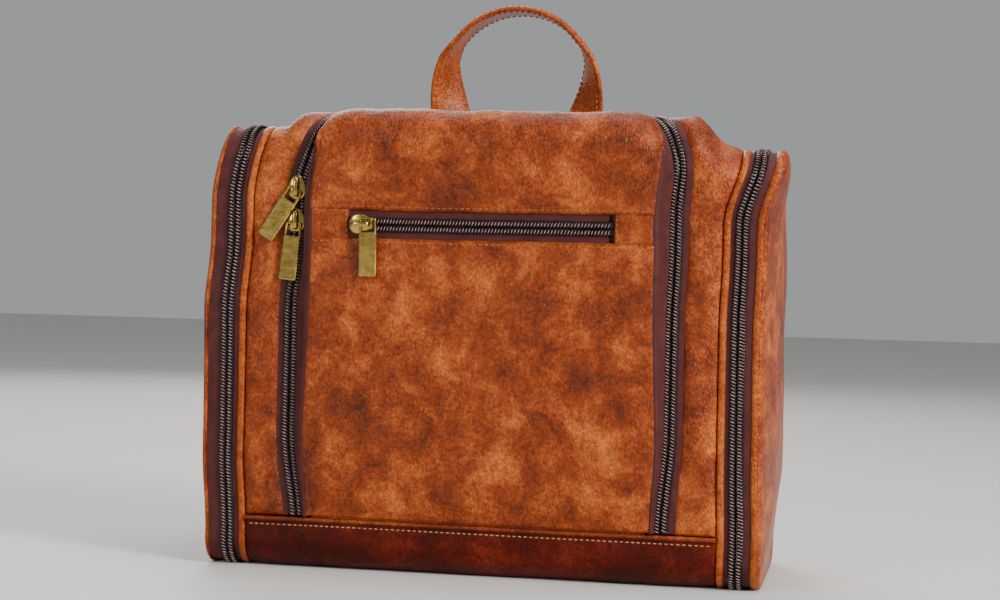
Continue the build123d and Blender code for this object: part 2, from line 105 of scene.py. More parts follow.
# --- the softness of the real bag; a pair is for its left and its right ---
LIFT = 9.5                  # the flap zip is drawn up this far over the top corners
FOOT_DRAW = 3.6             # and drawn inwards at its foot
BELLY_SHIFT = (2.7, 0.9)    # the sides shift to the left at mid height
TOP_LEAN = 2.8              # the top front leans to the right
CORNER_LEAN = (1.2, 4.2)    # and its corners lean further
END_RISE = (3.8, -4.2)      # the ends of the top stand higher or lower
STAND = 0.02                # no sewn piece reaches lower than this
LEATHER = 1.6
SIDES = (("left", -1), ("right", 1))


# --- arithmetic ---
def smooth(t):
    t = np.clip(t, 0.0, 1.0)
    return t * t * (3 - 2 * t)


def waves(points, scale, seed):
    """Smooth, repeatable unevenness, mostly between -1 and 1."""
    rng = np.random.default_rng(seed)
    total = np.zeros(points.shape[:-1])
    for _ in range(7):
        direction = rng.normal(size=3)
        direction /= np.linalg.norm(direction)
        turn = 2 * pi / (scale * rng.uniform(0.6, 1.7))
        total += np.sin(points @ direction * turn + rng.uniform(0, 2 * pi))
    return total / 3


def quarter_round(distance, radius):
    """Height, 0 to 1, of a quarter circle at a distance from the edge where it starts."""
    return np.sqrt(1 - (1 - np.minimum(distance, radius) / radius) ** 2)


def signed_power(v, power):
    return np.sign(v) * np.abs(v) ** power


def settle(points):
    """The soft unevenness that every sewn piece shares, so neighbours stay together."""
    moved = points.copy()
    x, y, z = points.T
    wide = np.abs(x)

    def sided(pair):
        return np.where(x < 0, *pair)

    free = smooth(z / 40)
    for axis, (amount, scale) in enumerate(((0.8, 170), (0.9, 150), (0.6, 160))):
        moved[:, axis] += free * amount * waves(points, scale, axis + 1)
    front = smooth((FRONT + 14 - y) / 10)
    foot = front * (1 - smooth((z - BAND_TOP) / 45)) * smooth((z - BAND_TOP + 6) / 8)
    moved[:, 0] -= np.sign(x) * FOOT_DRAW * foot * np.exp(-(((wide - FLAP_ZIP) / 12) ** 2))
    sides = smooth((wide - 74) / 16) * smooth((12 - y) / 50)
    belly = smooth((z - 14) / 40) * smooth((152 - z) / 32)
    moved[:, 0] -= sides * belly * sided(BELLY_SHIFT)
    top = smooth((z - 168) / 30) * smooth((30 - y) / 50)
    moved[:, 0] += top * (TOP_LEAN + smooth((wide - 94) / 16) * sided(CORNER_LEAN))
    ends = smooth((wide - 92) / 20) * smooth((z - 110) / 80) * smooth((45 - y) / 60)
    moved[:, 2] += ends * sided(END_RISE)
    moved[:, 2] = np.maximum(moved[:, 2], STAND)
    return moved


# The body's section in YZ: straight runs and arcs, walked from the back edge of the
# foot, under the bag, up the front, over the top and down the back.
RUNS = (
    ("arc", (BACK - BOTTOM_ROUND, BOTTOM_ROUND), BOTTOM_ROUND, 0.0, -90.0),
    ("line", (BACK - BOTTOM_ROUND, 0.0), (FRONT + BOTTOM_ROUND, 0.0)),
    ("arc", (FRONT + BOTTOM_ROUND, BOTTOM_ROUND), BOTTOM_ROUND, -90.0, -180.0),
    ("line", (FRONT, BOTTOM_ROUND), (FRONT, HEIGHT - TOP_ROUND)),
    ("arc", (FRONT + TOP_ROUND, HEIGHT - TOP_ROUND), TOP_ROUND, 180.0, 90.0),
    ("line", (FRONT + TOP_ROUND, HEIGHT), (BACK - TOP_ROUND, HEIGHT)),
    ("arc", (BACK - TOP_ROUND, HEIGHT - TOP_ROUND), TOP_ROUND, 90.0, 0.0),
    ("line", (BACK, HEIGHT - TOP_ROUND), (BACK, BOTTOM_ROUND)),
)


def run_length(run):
    if run[0] == "arc":
        return run[2] * radians(abs(run[4] - run[3]))
    return float(np.hypot(run[2][0] - run[1][0], run[2][1] - run[1][1]))


STARTS = np.concatenate([[0.0], np.cumsum([run_length(r) for r in RUNS])])
AROUND = STARTS[-1]
MIDDLE = np.array([(FRONT + BACK) / 2, HEIGHT / 2])


def ring(s):
    """Points and outward normals of the section at distances s along it."""
    s = np.mod(np.asarray(s, float), AROUND)
    where, normal = np.zeros(s.shape + (2,)), np.zeros(s.shape + (2,))
    for run, begin, end in zip(RUNS, STARTS[:-1], STARTS[1:]):
        here = (s >= begin) & (s <= end)
        share = (s[here] - begin) / (end - begin)
        if run[0] == "arc":
            angle = np.radians(run[3] + (run[4] - run[3]) * share)
            n = np.stack([np.cos(angle), np.sin(angle)], -1)
            where[here] = np.array(run[1]) + run[2] * n
        else:
            a, b = np.array(run[1]), np.array(run[2])
            along = (b - a) / np.linalg.norm(b - a)
            n = np.broadcast_to([-along[1], along[0]], share.shape + (2,))
            where[here] = a + share[:, None] * (b - a)
        normal[here] = n
    return where, normal


def front_s(z):
    return STARTS[3] + z - BOTTOM_ROUND


def top_s(y):
    """Distance along the section for a Y on top, from the front's rounding backwards."""
    if y < FRONT + TOP_ROUND:
        return STARTS[4] + TOP_ROUND * np.arccos((FRONT + TOP_ROUND - y) / TOP_ROUND)
    return STARTS[5] + y - FRONT - TOP_ROUND


def back_s(z):
    return STARTS[7] + HEIGHT - TOP_ROUND - z


def body_at(x, s, h=0.0):
    """Points of the body's surface at widths x and distances s, raised by h."""
    x, s, h = np.broadcast_arrays(x, s, h)
    where, normal = ring(s)
    return np.concatenate([x[..., None], where + normal * h[..., None]], -1)


def standing(x, loop):
    """A loop of (y, z) points, set at width x."""
    return np.concatenate([np.full((len(loop), 1), x), loop], 1)


def inward_loops(count, depths, shares=()):
    """Loops inside the section: at depths below it, then shrinking towards its middle."""
    where, normal = ring(np.linspace(0, AROUND, count, endpoint=False))
    loops = [where - normal * depth for depth in depths]
    return loops + [MIDDLE + (loops[-1] - MIDDLE) * share for share in shares]


# The flap zip's line on that surface: straight up the front, round a corner of an
# ellipse, and across the top.  Lines beside it keep the same corner centre.
CORNER_X = FLAP_ZIP - 21.2
CORNER_S = front_s(178.0)
CORNER_A = FLAP_ZIP - CORNER_X
CORNER_B = top_s(FRONT + 18.0) - CORNER_S


def lift(x, s):
    """How far the surface is drawn up round the flap's top corners."""
    rise = smooth((s - CORNER_S - 8) / (CORNER_B - 8))
    fall = 1 - smooth((s - CORNER_S - CORNER_B - 5) / 34)
    inward = smooth((FLAP_ZIP + 15 - np.abs(x)) / 11.5)
    middle = 0.7 + 0.3 * smooth((np.abs(x) - 30) / 30)
    return LIFT * rise * fall * inward * middle


def zip_line(d):
    """(x, s) along a line d outside the middle of the flap zip, left foot to right foot."""
    rise = np.linspace(front_s(FLAP_BOTTOM), CORNER_S, 90)[:-1]
    turn = np.radians(np.linspace(0, 90, 26))
    x = np.concatenate([np.full(rise.shape, -(FLAP_ZIP + d)),
                        -CORNER_X - (CORNER_A + d) * np.cos(turn)])
    s = np.concatenate([rise, CORNER_S + (CORNER_B + d) * np.sin(turn)])
    across = np.linspace(-CORNER_X, CORNER_X, 70)[1:-1]
    top = np.full(across.shape, CORNER_S + CORNER_B + d)
    return np.concatenate([x, across, -x[::-1]]), np.concatenate([s, top, s[::-1]])


def zip_surface(d, h=0.0):
    x, s = zip_line(d)
    return body_at(x, s, h + lift(x, s))


# --- mesh making ---
def spaced(a, b, step, fine=(0.3, 0.8, 1.5, 2.6)):
    """Positions from a to b, close together near both ends."""
    sign = 1 if b > a else -1
    span = abs(b - a)
    edge = [f for f in fine if f < span / 2.2]
    inner = edge[-1] if edge else 0.0
    count = max(2, int((span - 2 * inner) / step) + 1)
    middle = np.linspace(inner, span - inner, count)
    near = [0.0] + edge[:-1] if edge else []
    out = np.concatenate([near, middle, [span - n for n in near[::-1]]])
    return a + sign * out


def unit(v):
    return v / np.maximum(np.linalg.norm(v, axis=-1, keepdims=True), 1e-9)


def distances(line):
    """The distance of each point of a line from its start."""
    return np.concatenate([[0], np.cumsum(np.linalg.norm(np.diff(line, axis=0), axis=1))])


def looked_up(s, far, table):
    """The rows of a line's table at distances s; far is the distance of each row."""
    return np.stack([np.interp(s, far, table[:, k]) for k in range(3)], -1)


def grid_normals(grid, wrap=False):
    du = np.gradient(grid, axis=0)
    if wrap:
        padded = np.concatenate([grid[:, -1:], grid, grid[:, :1]], 1)
        dv = (padded[:, 2:] - padded[:, :-2]) / 2
    else:
        dv = np.gradient(grid, axis=1)
    return unit(np.cross(du, dv))


def edge_distances(grid):
    """Distances along the surface to the nearer u edge and the nearer v edge."""
    def nearer(axis):
        steps = np.linalg.norm(np.diff(grid, axis=axis), axis=-1)
        start = np.zeros_like(np.take(steps, [0], axis))
        far = np.concatenate([start, np.cumsum(steps, axis)], axis)
        return np.minimum(far, np.take(far, [-1], axis) - far)
    return nearer(0), nearer(1)


def shell(outer, inner, wrap=False, capped=False):
    """A closed skin between two grids of points; capped closes each at its last row."""
    nu, nv = outer.shape[:2]
    last, end = nu - 1, nv - 1
    columns = range(nv if wrap else end)
    faces = []

    def face(*corners):
        faces.append(tuple((layer * nu + i) * nv + j % nv for layer, i, j in corners))

    for i in range(last):
        for j in columns:
            face((0, i, j), (0, i + 1, j), (0, i + 1, j + 1), (0, i, j + 1))
            face((1, i, j), (1, i, j + 1), (1, i + 1, j + 1), (1, i + 1, j))
    for j in columns:
        face((0, 0, j), (0, 0, j + 1), (1, 0, j + 1), (1, 0, j))
        if not capped:
            face((0, last, j), (1, last, j), (1, last, j + 1), (0, last, j + 1))
    for i in () if wrap else range(last):
        face((0, i, 0), (1, i, 0), (1, i + 1, 0), (0, i + 1, 0))
        face((0, i, end), (0, i + 1, end), (1, i + 1, end), (1, i, end))
    if capped:
        face(*((0, last, j) for j in range(nv)))
        face(*((1, last, j) for j in reversed(range(nv))))
    return np.concatenate([outer.reshape(-1, 3), inner.reshape(-1, 3)]), faces


def skin_over(loops, closed=False):
    """A skin over a row of loops, its two ends capped, or joined when closed."""
    n, sides = loops.shape[:2]
    faces = []
    for i in range(n if closed else n - 1):
        a, b = i * sides, (i + 1) % n * sides
        for k in range(sides):
            m = (k + 1) % sides
            faces.append((a + k, a + m, b + m, b + k))
    if not closed:
        faces.append(tuple(range(sides))[::-1])
        faces.append(tuple((n - 1) * sides + k for k in range(sides)))
    return loops.reshape(-1, 3), faces


def tube(points, normals, radius, sides=6, flat=1.0, closed=False):
    """A tube along points; flat under 1 presses it towards the surface."""
    if closed:
        ahead = unit(np.roll(points, -1, 0) - np.roll(points, 1, 0))
    else:
        ahead = unit(np.gradient(points, axis=0))
    across = unit(np.cross(ahead, normals))
    up = unit(np.cross(across, ahead))
    turn = np.linspace(0, 2 * pi, sides, endpoint=False)[:, None]
    loops = (points[:, None] + radius * across[:, None] * np.cos(turn)
             + radius * flat * up[:, None] * np.sin(turn))
    return skin_over(loops, closed)


def merged(parts):
    verts, faces, base = [], [], 0
    for v, f in parts:
        verts.append(v)
        faces += [tuple(i + base for i in face) for face in f]
        base += len(v)
    return np.concatenate(verts), faces


def add_piece(name, body, parts, material, stands_for=(), sharp=50.0, soft=True):
    verts, faces = merged(parts)
    if soft:
        verts = settle(verts)
    mesh = bpy.data.meshes.new(name)
    mesh.from_pydata((verts * MM).tolist(), [], faces)
    work = bmesh.new()
    work.from_mesh(mesh)
    bmesh.ops.recalc_face_normals(work, faces=work.faces)
    work.to_mesh(mesh)
    work.free()
    mesh.shade_smooth()
    mesh.set_sharp_from_angle(angle=radians(sharp))
    mesh.materials.append(material)
    piece = bpy.data.objects.new(name, mesh)
    bpy.context.scene.collection.objects.link(piece)
    if body:
        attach(piece, body)
    if stands_for:
        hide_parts(*stands_for)
    return piece


def leather_skin(grid, crown=1.0, reach=7.0, fold=0.9, lip=0.0, crease=0.25, sink=0.0,
                 thick=LEATHER, outward=1, seed=11):
    """A turned-edge leather panel: its outer grid, its normals and its closed skin."""
    n = grid_normals(grid) * outward
    across, along = edge_distances(grid)
    near = np.minimum(across, along)
    h = crown * (1 - np.exp(-near / reach)) - sink
    h += lip * np.exp(-along / 3.0) - fold * (1 - quarter_round(near, fold))
    h += crease * smooth(near / 6) * (waves(grid, 26, seed) + 0.5 * waves(grid, 11, seed + 1))
    outer = grid + n * h[..., None]
    inner = grid + n * (h - thick)[..., None]
    return outer, n, shell(outer, inner)


def inset_line(outer, normals, edge, distance):
    """A line on a panel at a distance inside one edge: low/high in u, start/end in v."""
    points, ups = [], []
    for rows, n in zip(outer, normals) if edge in ("start", "end") else zip(
            outer.transpose(1, 0, 2), normals.transpose(1, 0, 2)):
        if edge in ("end", "high"):
            rows, n = rows[::-1], n[::-1]
        far = distances(rows)
        points.append(looked_up(distance, far, rows))
        ups.append(looked_up(distance, far, n))
    return np.array(points), unit(np.array(ups))


# A stitch's shoulders, as a share of its length, and how far it stands up and goes down.
SHOULDERS = (-0.34, 0.34)
STITCH_RISE, STITCH_END, STITCH_SINK = 0.28, 0.15, 0.3


def stitches(points, normals, pitch=2.8, length=2.0, width=0.55, skip=2.5):
    """A row of short sewn stitches along a line."""
    normals = np.broadcast_to(normals, points.shape)
    far = distances(points)
    faces = [(0, 1 + k, 1 + (k + 1) % 4) for k in range(4)]
    faces += [(1 + k, 5 + k, 5 + (k + 1) % 4, 1 + (k + 1) % 4) for k in range(4)]
    faces += [(9, 5 + (k + 1) % 4, 5 + k) for k in range(4)]
    parts = []
    for i in range(int((far[-1] - 2 * skip) / pitch)):
        s = skip + (i + 0.5) * pitch
        behind, centre, before = looked_up([s - 0.6, s, s + 0.6], far, points)
        up = unit(looked_up(s, far, normals))
        ahead = unit(before - behind)
        across = np.cross(ahead, up)
        verts = [centre - ahead * length / 2 - up * STITCH_END]
        for share in SHOULDERS:
            base = centre + ahead * share * length
            verts += [base + across * width * 0.5, base + up * STITCH_RISE,
                      base - across * width * 0.5, base - up * STITCH_SINK]
        verts.append(centre + ahead * length / 2 - up * STITCH_END)
        parts.append((np.array(verts), faces))
    return parts


def seam(outer, normals, edges, inset, **look):
    """Rows of stitches on a panel, at a distance inside some of its edges."""
    rows = []
    for edge in edges:
        rows += stitches(*inset_line(outer, normals, edge, inset), **look)
    return rows


# --- materials ---
def rgba(colour):
    """A colour, or a plain shade, with its alpha."""
    return (*((colour,) * 3 if isinstance(colour, float) else colour), 1.0)


class Nodes:
    """A short way to write a material's nodes."""

    def __init__(self, name):
        self.material = bpy.data.materials.new(name)
        self.material.use_nodes = True
        self.tree = self.material.node_tree
        self.shader = self.tree.nodes["Principled BSDF"]
        self.place = self.tree.nodes.new("ShaderNodeTexCoord").outputs["Object"]

    def put(self, socket, value):
        """Links another node's output to a socket, or sets the socket's own value."""
        if isinstance(value, bpy.types.NodeSocket):
            self.tree.links.new(value, socket)
        else:
            socket.default_value = rgba(value) if socket.type == "RGBA" else value

    def add(self, kind, feature=None, **inputs):
        node = self.tree.nodes.new("ShaderNode" + kind)
        if feature:
            node.feature = feature
        for key, value in inputs.items():
            self.put(node.inputs[key], value)
        return node

    def noise(self, scale, detail=4.0, roughness=0.55, place=None, distortion=0.0):
        return self.add("TexNoise", Vector=place or self.place, Scale=scale, Detail=detail,
                        Roughness=roughness, Distortion=distortion).outputs["Fac"]

    def ramp(self, value, stops):
        node = self.add("ValToRGB", Fac=value)
        elements = node.color_ramp.elements
        for i, (position, colour) in enumerate(stops):
            element = elements[i] if i < 2 else elements.new(0.5)
            element.position, element.color = position, rgba(colour)
        return node.outputs["Color"]

    def mix(self, share, a, b, kind="MIX"):
        """Two colours or plain shades, mixed by a share."""
        node = self.add("Mix")
        node.data_type, node.blend_type = "RGBA", kind
        for index, value in ((0, share), (6, a), (7, b)):
            self.put(node.inputs[index], value)
        return node.outputs[2]

    def math(self, operation, *values, kind="Math"):
        node = self.add(kind)
        node.operation = operation
        for socket, value in zip(node.inputs, values):
            self.put(socket, value)
        return node.outputs["Value"]

    def stretched(self, *scale):
        return self.add("Mapping", Vector=self.place, Scale=scale).outputs["Vector"]

    def bump(self, *heights):
        """Chained bumps, each (height socket, strength, depth in millimetres)."""
        chain = {}
        for height, strength, depth in heights:
            node = self.add("Bump", Strength=strength, Distance=depth * MM, Height=height, **chain)
            chain = {"Normal": node.outputs["Normal"]}
        self.put(self.shader.inputs["Normal"], chain["Normal"])

    def set(self, **inputs):
        for key, value in inputs.items():
            self.put(self.shader.inputs[key.replace("_", " ")], value)
        return self.material


def leather(name, dark, middle, light, gloss=0.4, blotch=1.0, shine=0.3):
    """Waxed, crazed leather: cloudy dark and tan patches, pebbled grain and pull-up creases."""
    m = Nodes(name)
    cloud = m.noise(15.0, 5.0, 0.6, distortion=0.6)
    patch = m.noise(62.0, 6.0, 0.7, distortion=0.4)
    speck = m.noise(620.0, 4.0, 0.7)
    both = m.math("ADD", m.math("MULTIPLY", cloud, 0.36), m.math("MULTIPLY", patch, 0.64))
    spread = 0.165 * blotch
    colour = m.ramp(both, [(0.5 - spread, dark), (0.5 + spread, light), (0.5, middle)])
    colour = m.mix(0.8, colour, m.ramp(speck, [(0.36, 0.42), (0.6, 1.2)]), "MULTIPLY")
    drawn = m.stretched(1.0, 1.0, 0.6)
    cells = m.add("TexVoronoi", Vector=drawn, Scale=760.0, feature="DISTANCE_TO_EDGE")
    pebble = m.ramp(cells.outputs["Distance"], [(0.0, 0.0), (0.22, 1.0)])
    plates = m.add("TexVoronoi", Vector=drawn, Scale=230.0, feature="DISTANCE_TO_EDGE")
    lines = m.ramp(plates.outputs["Distance"], [(0.0, 0.0), (0.09, 1.0)])
    worn = m.ramp(m.noise(34.0, 3.0, 0.6), [(0.42, 1.0), (0.6, 0.0)])
    crease = m.mix(worn, lines, 1.0, "LIGHTEN")
    grain = m.noise(1700.0, 3.0, 0.6)
    pull = m.noise(75.0, 5.0, 0.62, place=m.stretched(1.0, 1.0, 0.5), distortion=1.4)
    colour = m.mix(0.35, colour, m.ramp(pebble, [(0.0, 0.35), (1.0, 1.0)]), "MULTIPLY")
    rough = m.math("ADD", gloss - 0.14, m.math("MULTIPLY", patch, 0.28))
    m.bump((pull, 0.5, 1.2), (crease, 0.5, 0.3), (pebble, 0.6, 0.22), (grain, 0.4, 0.1))
    return m.set(Base_Color=colour, Roughness=rough, Specular_IOR_Level=shine,
                 Specular_Tint=(1.0, 0.78, 0.62), Coat_Weight=0.06, Coat_Roughness=0.28)


def woven(name, colour, other, pitch=0.9, sheen=0.25, rough=0.75, depth=0.12):
    """Twill cloth: two sets of threads that cross on every face, whichever way it looks."""
    m = Nodes(name)
    threads = []
    for direction in ((1.0, 1.0, 1.0), (1.0, 0.0, -1.0)):
        along = m.math("DOT_PRODUCT", m.place, direction, kind="VectorMath")
        turned = m.math("MULTIPLY", along, 2 * pi / (pitch * 1.41 * MM))
        threads.append(m.math("MULTIPLY_ADD", m.math("SINE", turned), 0.5, 0.5))
    cloth = m.math("MULTIPLY", *threads)
    shade = m.noise(160.0, 4.0)
    mixed = m.math("ADD", m.math("MULTIPLY", cloth, 0.5), m.math("MULTIPLY", shade, 0.5))
    m.bump((cloth, 0.6, depth))
    return m.set(Base_Color=m.ramp(mixed, [(0.15, colour), (0.75, other)]), Roughness=rough,
                 Specular_IOR_Level=0.25, Sheen_Weight=sheen, Sheen_Roughness=0.4,
                 Sheen_Tint=(0.9, 0.55, 0.5))


def plain(name, colour, other, rough, **more):
    m = Nodes(name)
    speckle = m.noise(700.0, 3.0)
    m.bump((speckle, 0.25, 0.05))
    shade = m.ramp(speckle, [(0.35, colour), (0.65, other)])
    return m.set(Base_Color=shade, Roughness=rough, **more)


def brass(name):
    """Olive antique brass, brushed, darker in patches."""
    m = Nodes(name)
    worn = m.noise(220.0, 5.0, 0.6)
    brushed = m.noise(900.0, 3.0, 0.7, place=m.stretched(0.12, 1.0, 1.0))
    dented = m.noise(130.0, 2.0, 0.5)
    colour = m.ramp(worn, [(0.3, (0.32, 0.2, 0.04)), (0.7, (0.56, 0.39, 0.11))])
    rough = m.math("ADD", 0.06, m.math("MULTIPLY", brushed, 0.24))
    m.bump((dented, 0.3, 0.5), (brushed, 0.15, 0.04))
    return m.set(Base_Color=colour, Roughness=rough, Metallic=1.0)


def mesh_cloth(name):
    m = Nodes(name)
    holes = m.add("TexVoronoi", Vector=m.place, Scale=900.0, Randomness=0.15)
    net = m.ramp(holes.outputs["Distance"], [(0.3, 0.0), (0.5, 1.0)])
    m.bump((net, 0.9, 0.35))
    return m.set(Base_Color=m.mix(net, (0.008, 0.006, 0.005), (0.045, 0.032, 0.028)),
                 Roughness=0.8)


BROWN = leather("brown_leather", (0.05, 0.003, 0.0), (0.27, 0.037, 0.003), (0.62, 0.15, 0.022))
DARK = leather("band_leather", (0.022, 0.0, 0.0), (0.078, 0.002, 0.0), (0.19, 0.016, 0.003),
               0.46, shine=0.16)
# A lighter copy of the band leather for the rolled edge: partly a paler leather of its own, partly
# a painted highlight along the roll.
ROLL_WITH_PAINTED_HIGHLIGHT = leather("band_roll_leather_painted_highlight", (0.09, 0.006, 0.001), (0.2, 0.022, 0.003),
               (0.38, 0.07, 0.01), 0.34)
STRIP = leather("strip_leather", (0.12, 0.010, 0.001), (0.36, 0.062, 0.005),
                (0.66, 0.175, 0.026), 0.34, 1.4)
TAPE = woven("zip_tape", (0.016, 0.002, 0.002), (0.13, 0.022, 0.02), 0.9, 0.12, 0.65)
LINING = woven("lining_cloth", (0.03, 0.019, 0.014), (0.085, 0.058, 0.045), 0.7, 0.2)
ELASTIC = woven("elastic_band", (0.012, 0.010, 0.010), (0.05, 0.042, 0.04), 1.3, 0.1, 0.8, 0.25)
MESH = mesh_cloth("mesh_cloth")
COIL = plain("zip_coil", (0.004, 0.001, 0.001), (0.012, 0.004, 0.004), 0.3,
             Specular_IOR_Level=0.3)
# Pale material for the coil marks, which are painted highlights, and for the elastic bands' tacks,
# which are real thread.
THREAD_AND_PAINTED_COIL_HIGHLIGHT = plain("painted_coil_highlight_and_thread", (0.28, 0.15, 0.14), (0.55, 0.36, 0.34), 0.35)
TONAL = plain("tonal_thread", (0.22, 0.05, 0.010), (0.42, 0.13, 0.03), 0.5)
TAN = plain("tan_thread", (0.40, 0.17, 0.065), (0.62, 0.32, 0.14), 0.5)
BRASS = brass("antique_brass")
BOARD = plain("board", (0.05, 0.05, 0.05), (0.08, 0.08, 0.08), 0.7)


# --- the body's skin ---
BODY_HALF = BODY_EDGE - 0.1
BODY_XS = spaced(-BODY_HALF, BODY_HALF, 5.0)


def body_skin(s0, s1, step, **look):
    """A leather across the whole width of the body, between two distances along it."""
    ss = spaced(s0, s1, step)
    x = BODY_XS[:, None]
    grid = body_at(x, ss)
    grid[..., 2] += lift(x, ss)
    return leather_skin(grid, **look)


def foot_band():
    """The dark band round the foot, with its rolled and stitched upper edges."""
    outer, n, skin = body_skin(back_s(BAND_TOP) - AROUND, front_s(BAND_TOP), 3.0, crown=0.9,
                               sink=0.7, lip=0.7, crease=0.2, fold=1.1, thick=2.4, seed=21)
    add_piece("foot_band", "bag_body", [skin], DARK, ("base_panel",))
    rows = seam(outer, n, ("start", "end"), 4.4, pitch=2.6, length=1.8)
    add_piece("foot_band_stitches", "bag_body", rows, TAN)
    # The roll takes the lighter band leather, partly a painted highlight.
    roll, above = (body_at(BODY_XS, front_s(BAND_TOP - 1.0), h) for h in (0.5, 1.5))
    add_piece("foot_band_roll", "bag_body", [tube(roll, above - roll, 1.05, 12, 0.95)], ROLL_WITH_PAINTED_HIGHLIGHT)


def top_and_back():
    seam_s = back_s(HEIGHT - TOP_ROUND)
    outer, n, skin = body_skin(top_s(TOP_PANEL_FRONT), seam_s, 4.0, crown=1.2, sink=0.4,
                               crease=0.45, thick=2.2, seed=31)
    add_piece("top_leather", "bag_body", [skin], BROWN, ("top_panel",))
    rows = seam(outer, n, ("end",), 2.6) + seam(outer, n, ("start",), 2.4)
    add_piece("top_stitches", "bag_body", rows, TONAL)
    skin = body_skin(seam_s, back_s(BAND_TOP), 5.0, crown=1.0, sink=0.4, crease=0.6, reach=14,
                     thick=2.2, seed=35)[2]
    add_piece("back_leather", "bag_body", [skin], BROWN, ("back_panel",))


def front_border(name, side):
    """The leather beside the flap zip; its rolled edge lies over the tape, by the coil."""
    d = CHAIN + 1.9
    turn = np.radians(np.linspace(0, 90, 22))[1:]
    rise = spaced(front_s(BAND_TOP), CORNER_S, 4.0)
    s = np.concatenate([rise, CORNER_S + (CORNER_B + d) * np.sin(turn)])
    edge_x = np.concatenate([np.full(rise.shape, FLAP_ZIP + d),
                             CORNER_X + (CORNER_A + d) * np.cos(turn)])
    across = spaced(0.0, 1.0, 0.07, (0.02, 0.06, 0.12, 0.19))[:, None]
    x = edge_x + (BODY_HALF - edge_x) * across
    skin = leather_skin(body_at(side * x, s, lift(x, s)), crown=2.4, reach=3.4, sink=1.0,
                        crease=0.5, fold=1.2, outward=side, seed=41 + side)[2]
    add_piece(f"border_leather_{name}", "bag_body", [skin], BROWN,
              (f"front_border_{name}",))


def ring_piece(name, body, x0, x1, crown, base, depth, material, stands_for, side,
               s_range=None, columns=9):
    """A narrow strip round the whole section, rounded across like a piped edge."""
    wrap = s_range is None
    ss = np.linspace(0, AROUND, 260, endpoint=False) if wrap else np.linspace(*s_range, 240)
    angle = np.linspace(pi, 0, columns)[:, None]
    xs = side * ((x0 + x1) / 2 + (x1 - x0) / 2 * np.cos(angle))
    outer = body_at(xs, ss, base + crown * np.sin(angle))
    inner = body_at(xs, ss, base - depth)
    add_piece(name, body, [shell(outer, inner, wrap)], material, stands_for)


SIDE_ARC = (
    STARTS[1] - BOTTOM_ROUND * radians(ZIP_END_ANGLE),
    STARTS[6] + TOP_ROUND * radians(ZIP_END_ANGLE),
)


# --- zips ---
COIL_OFF = 1.62             # from a zip's middle to the middle of each coil
COIL_HALF, COIL_RISE, COIL_SLANT, COIL_WIRE = 1.52, 0.75, 0.35, 0.36
SIDE_COIL_DROP = 0.35       # the side coils lie this far below the body's surface
TAPE_CROWN, TAPE_BASE, TAPE_THICK = 0.15, -1.1, 0.7
TURN_STEPS = 9


def coil_parts(line, normals, across):
    """One side of a coil zip: its spiral and dark core, and a pale slanted mark on each turn, which
    is a painted highlight.
    """
    normals = np.broadcast_to(normals, line.shape)
    far = distances(line)
    turns = int(far[-1] / COIL_PITCH)

    def at(s):
        up, wide = (unit(looked_up(s, far, table)) for table in (normals, across))
        return looked_up(s, far, line), up, wide

    s = np.linspace(0.4, far[-1] - 0.4, turns * TURN_STEPS)
    angle = (2 * pi * s / COIL_PITCH)[:, None]
    centre, up, wide = at(s)
    spiral = centre + wide * (COIL_HALF * np.cos(angle)) + up * (COIL_RISE * np.sin(angle))
    spiral += unit(np.gradient(centre, axis=0)) * (COIL_SLANT * np.cos(angle))
    core, core_up, _ = at(np.linspace(0, far[-1], max(8, turns // 2)))
    parts = [tube(spiral, up, COIL_WIRE, 5),
             tube(core - core_up * 0.25, core_up, COIL_HALF * 0.92, 8, 0.55)]
    shape = np.array([(-1, 0, 0), (0, 1, 0), (0, 0, 1), (0, -1, 0), (0, 0, -1), (1, 0, 0)], float)
    faces = [(0, 2, 1), (0, 3, 2), (0, 4, 3), (0, 1, 4), (5, 1, 2), (5, 2, 3), (5, 3, 4), (5, 4, 1)]
    # Pale marks over the crest of each turn: painted highlights where the coil would catch the
    # light.
    marks = []
    for c, u, w in zip(*at((np.arange(turns) + 0.55) * COIL_PITCH)):
        long = unit(w + 0.4 * unit(np.cross(w, u)))
        axes = np.array([long * COIL_HALF * 0.86, np.cross(u, long) * 0.2, u * 0.22])
        marks.append((c + u * (COIL_RISE + 0.2) + shape @ axes, faces))
    return parts, marks


def coil_pair(name, inner, outer, normals, bodies, nodes):
    """The two meshing coils of a zip, given the middle line of each."""
    across = unit(outer - inner)
    for label, line, way, body, stands_for in zip(
            ("inner", "outer"), (inner, outer), (1, -1), bodies, nodes):
        parts, marks = coil_parts(line, normals, across * way)
        add_piece(f"{name}_coil_{label}", body, parts, COIL, stands_for)
        # The pale marks on the coil are painted highlights.
        add_piece(f"{name}_coil_thread_{label}", body, marks, THREAD_AND_PAINTED_COIL_HIGHLIGHT)


def cap_strip_start(side):
    """The left cover's tape shows wider, with a narrow leather edge beyond it."""
    return CAP_STRIP if side > 0 else CAP_STRIP + 3.2


def side_zip(name, side):
    bodies = ("bag_body", f"{name}_cap")
    for label, body, x0, x1 in (
        ("inner", bodies[0], SEAM_EDGE - 0.5, SIDE_ZIP - 0.2),
        ("outer", bodies[1], SIDE_ZIP + 0.2, cap_strip_start(side) + 0.5),
    ):
        ring_piece(f"side_tape_{name}_{label}", body, x0, x1, TAPE_CROWN, TAPE_BASE, TAPE_THICK,
                   TAPE, (f"side_zip_tape_{name}_{label}",), side, SIDE_ARC)
    ss = np.linspace(*SIDE_ARC, 700)
    inner, outer = (body_at(side * (SIDE_ZIP + off), ss, -SIDE_COIL_DROP)
                    for off in (-COIL_OFF, COIL_OFF))
    coil_pair(f"side_{name}", inner, outer, standing(0.0, ring(ss)[1]), bodies,
              ((f"side_zip_coil_{name}_inner",), (f"side_zip_coil_{name}_outer",)))


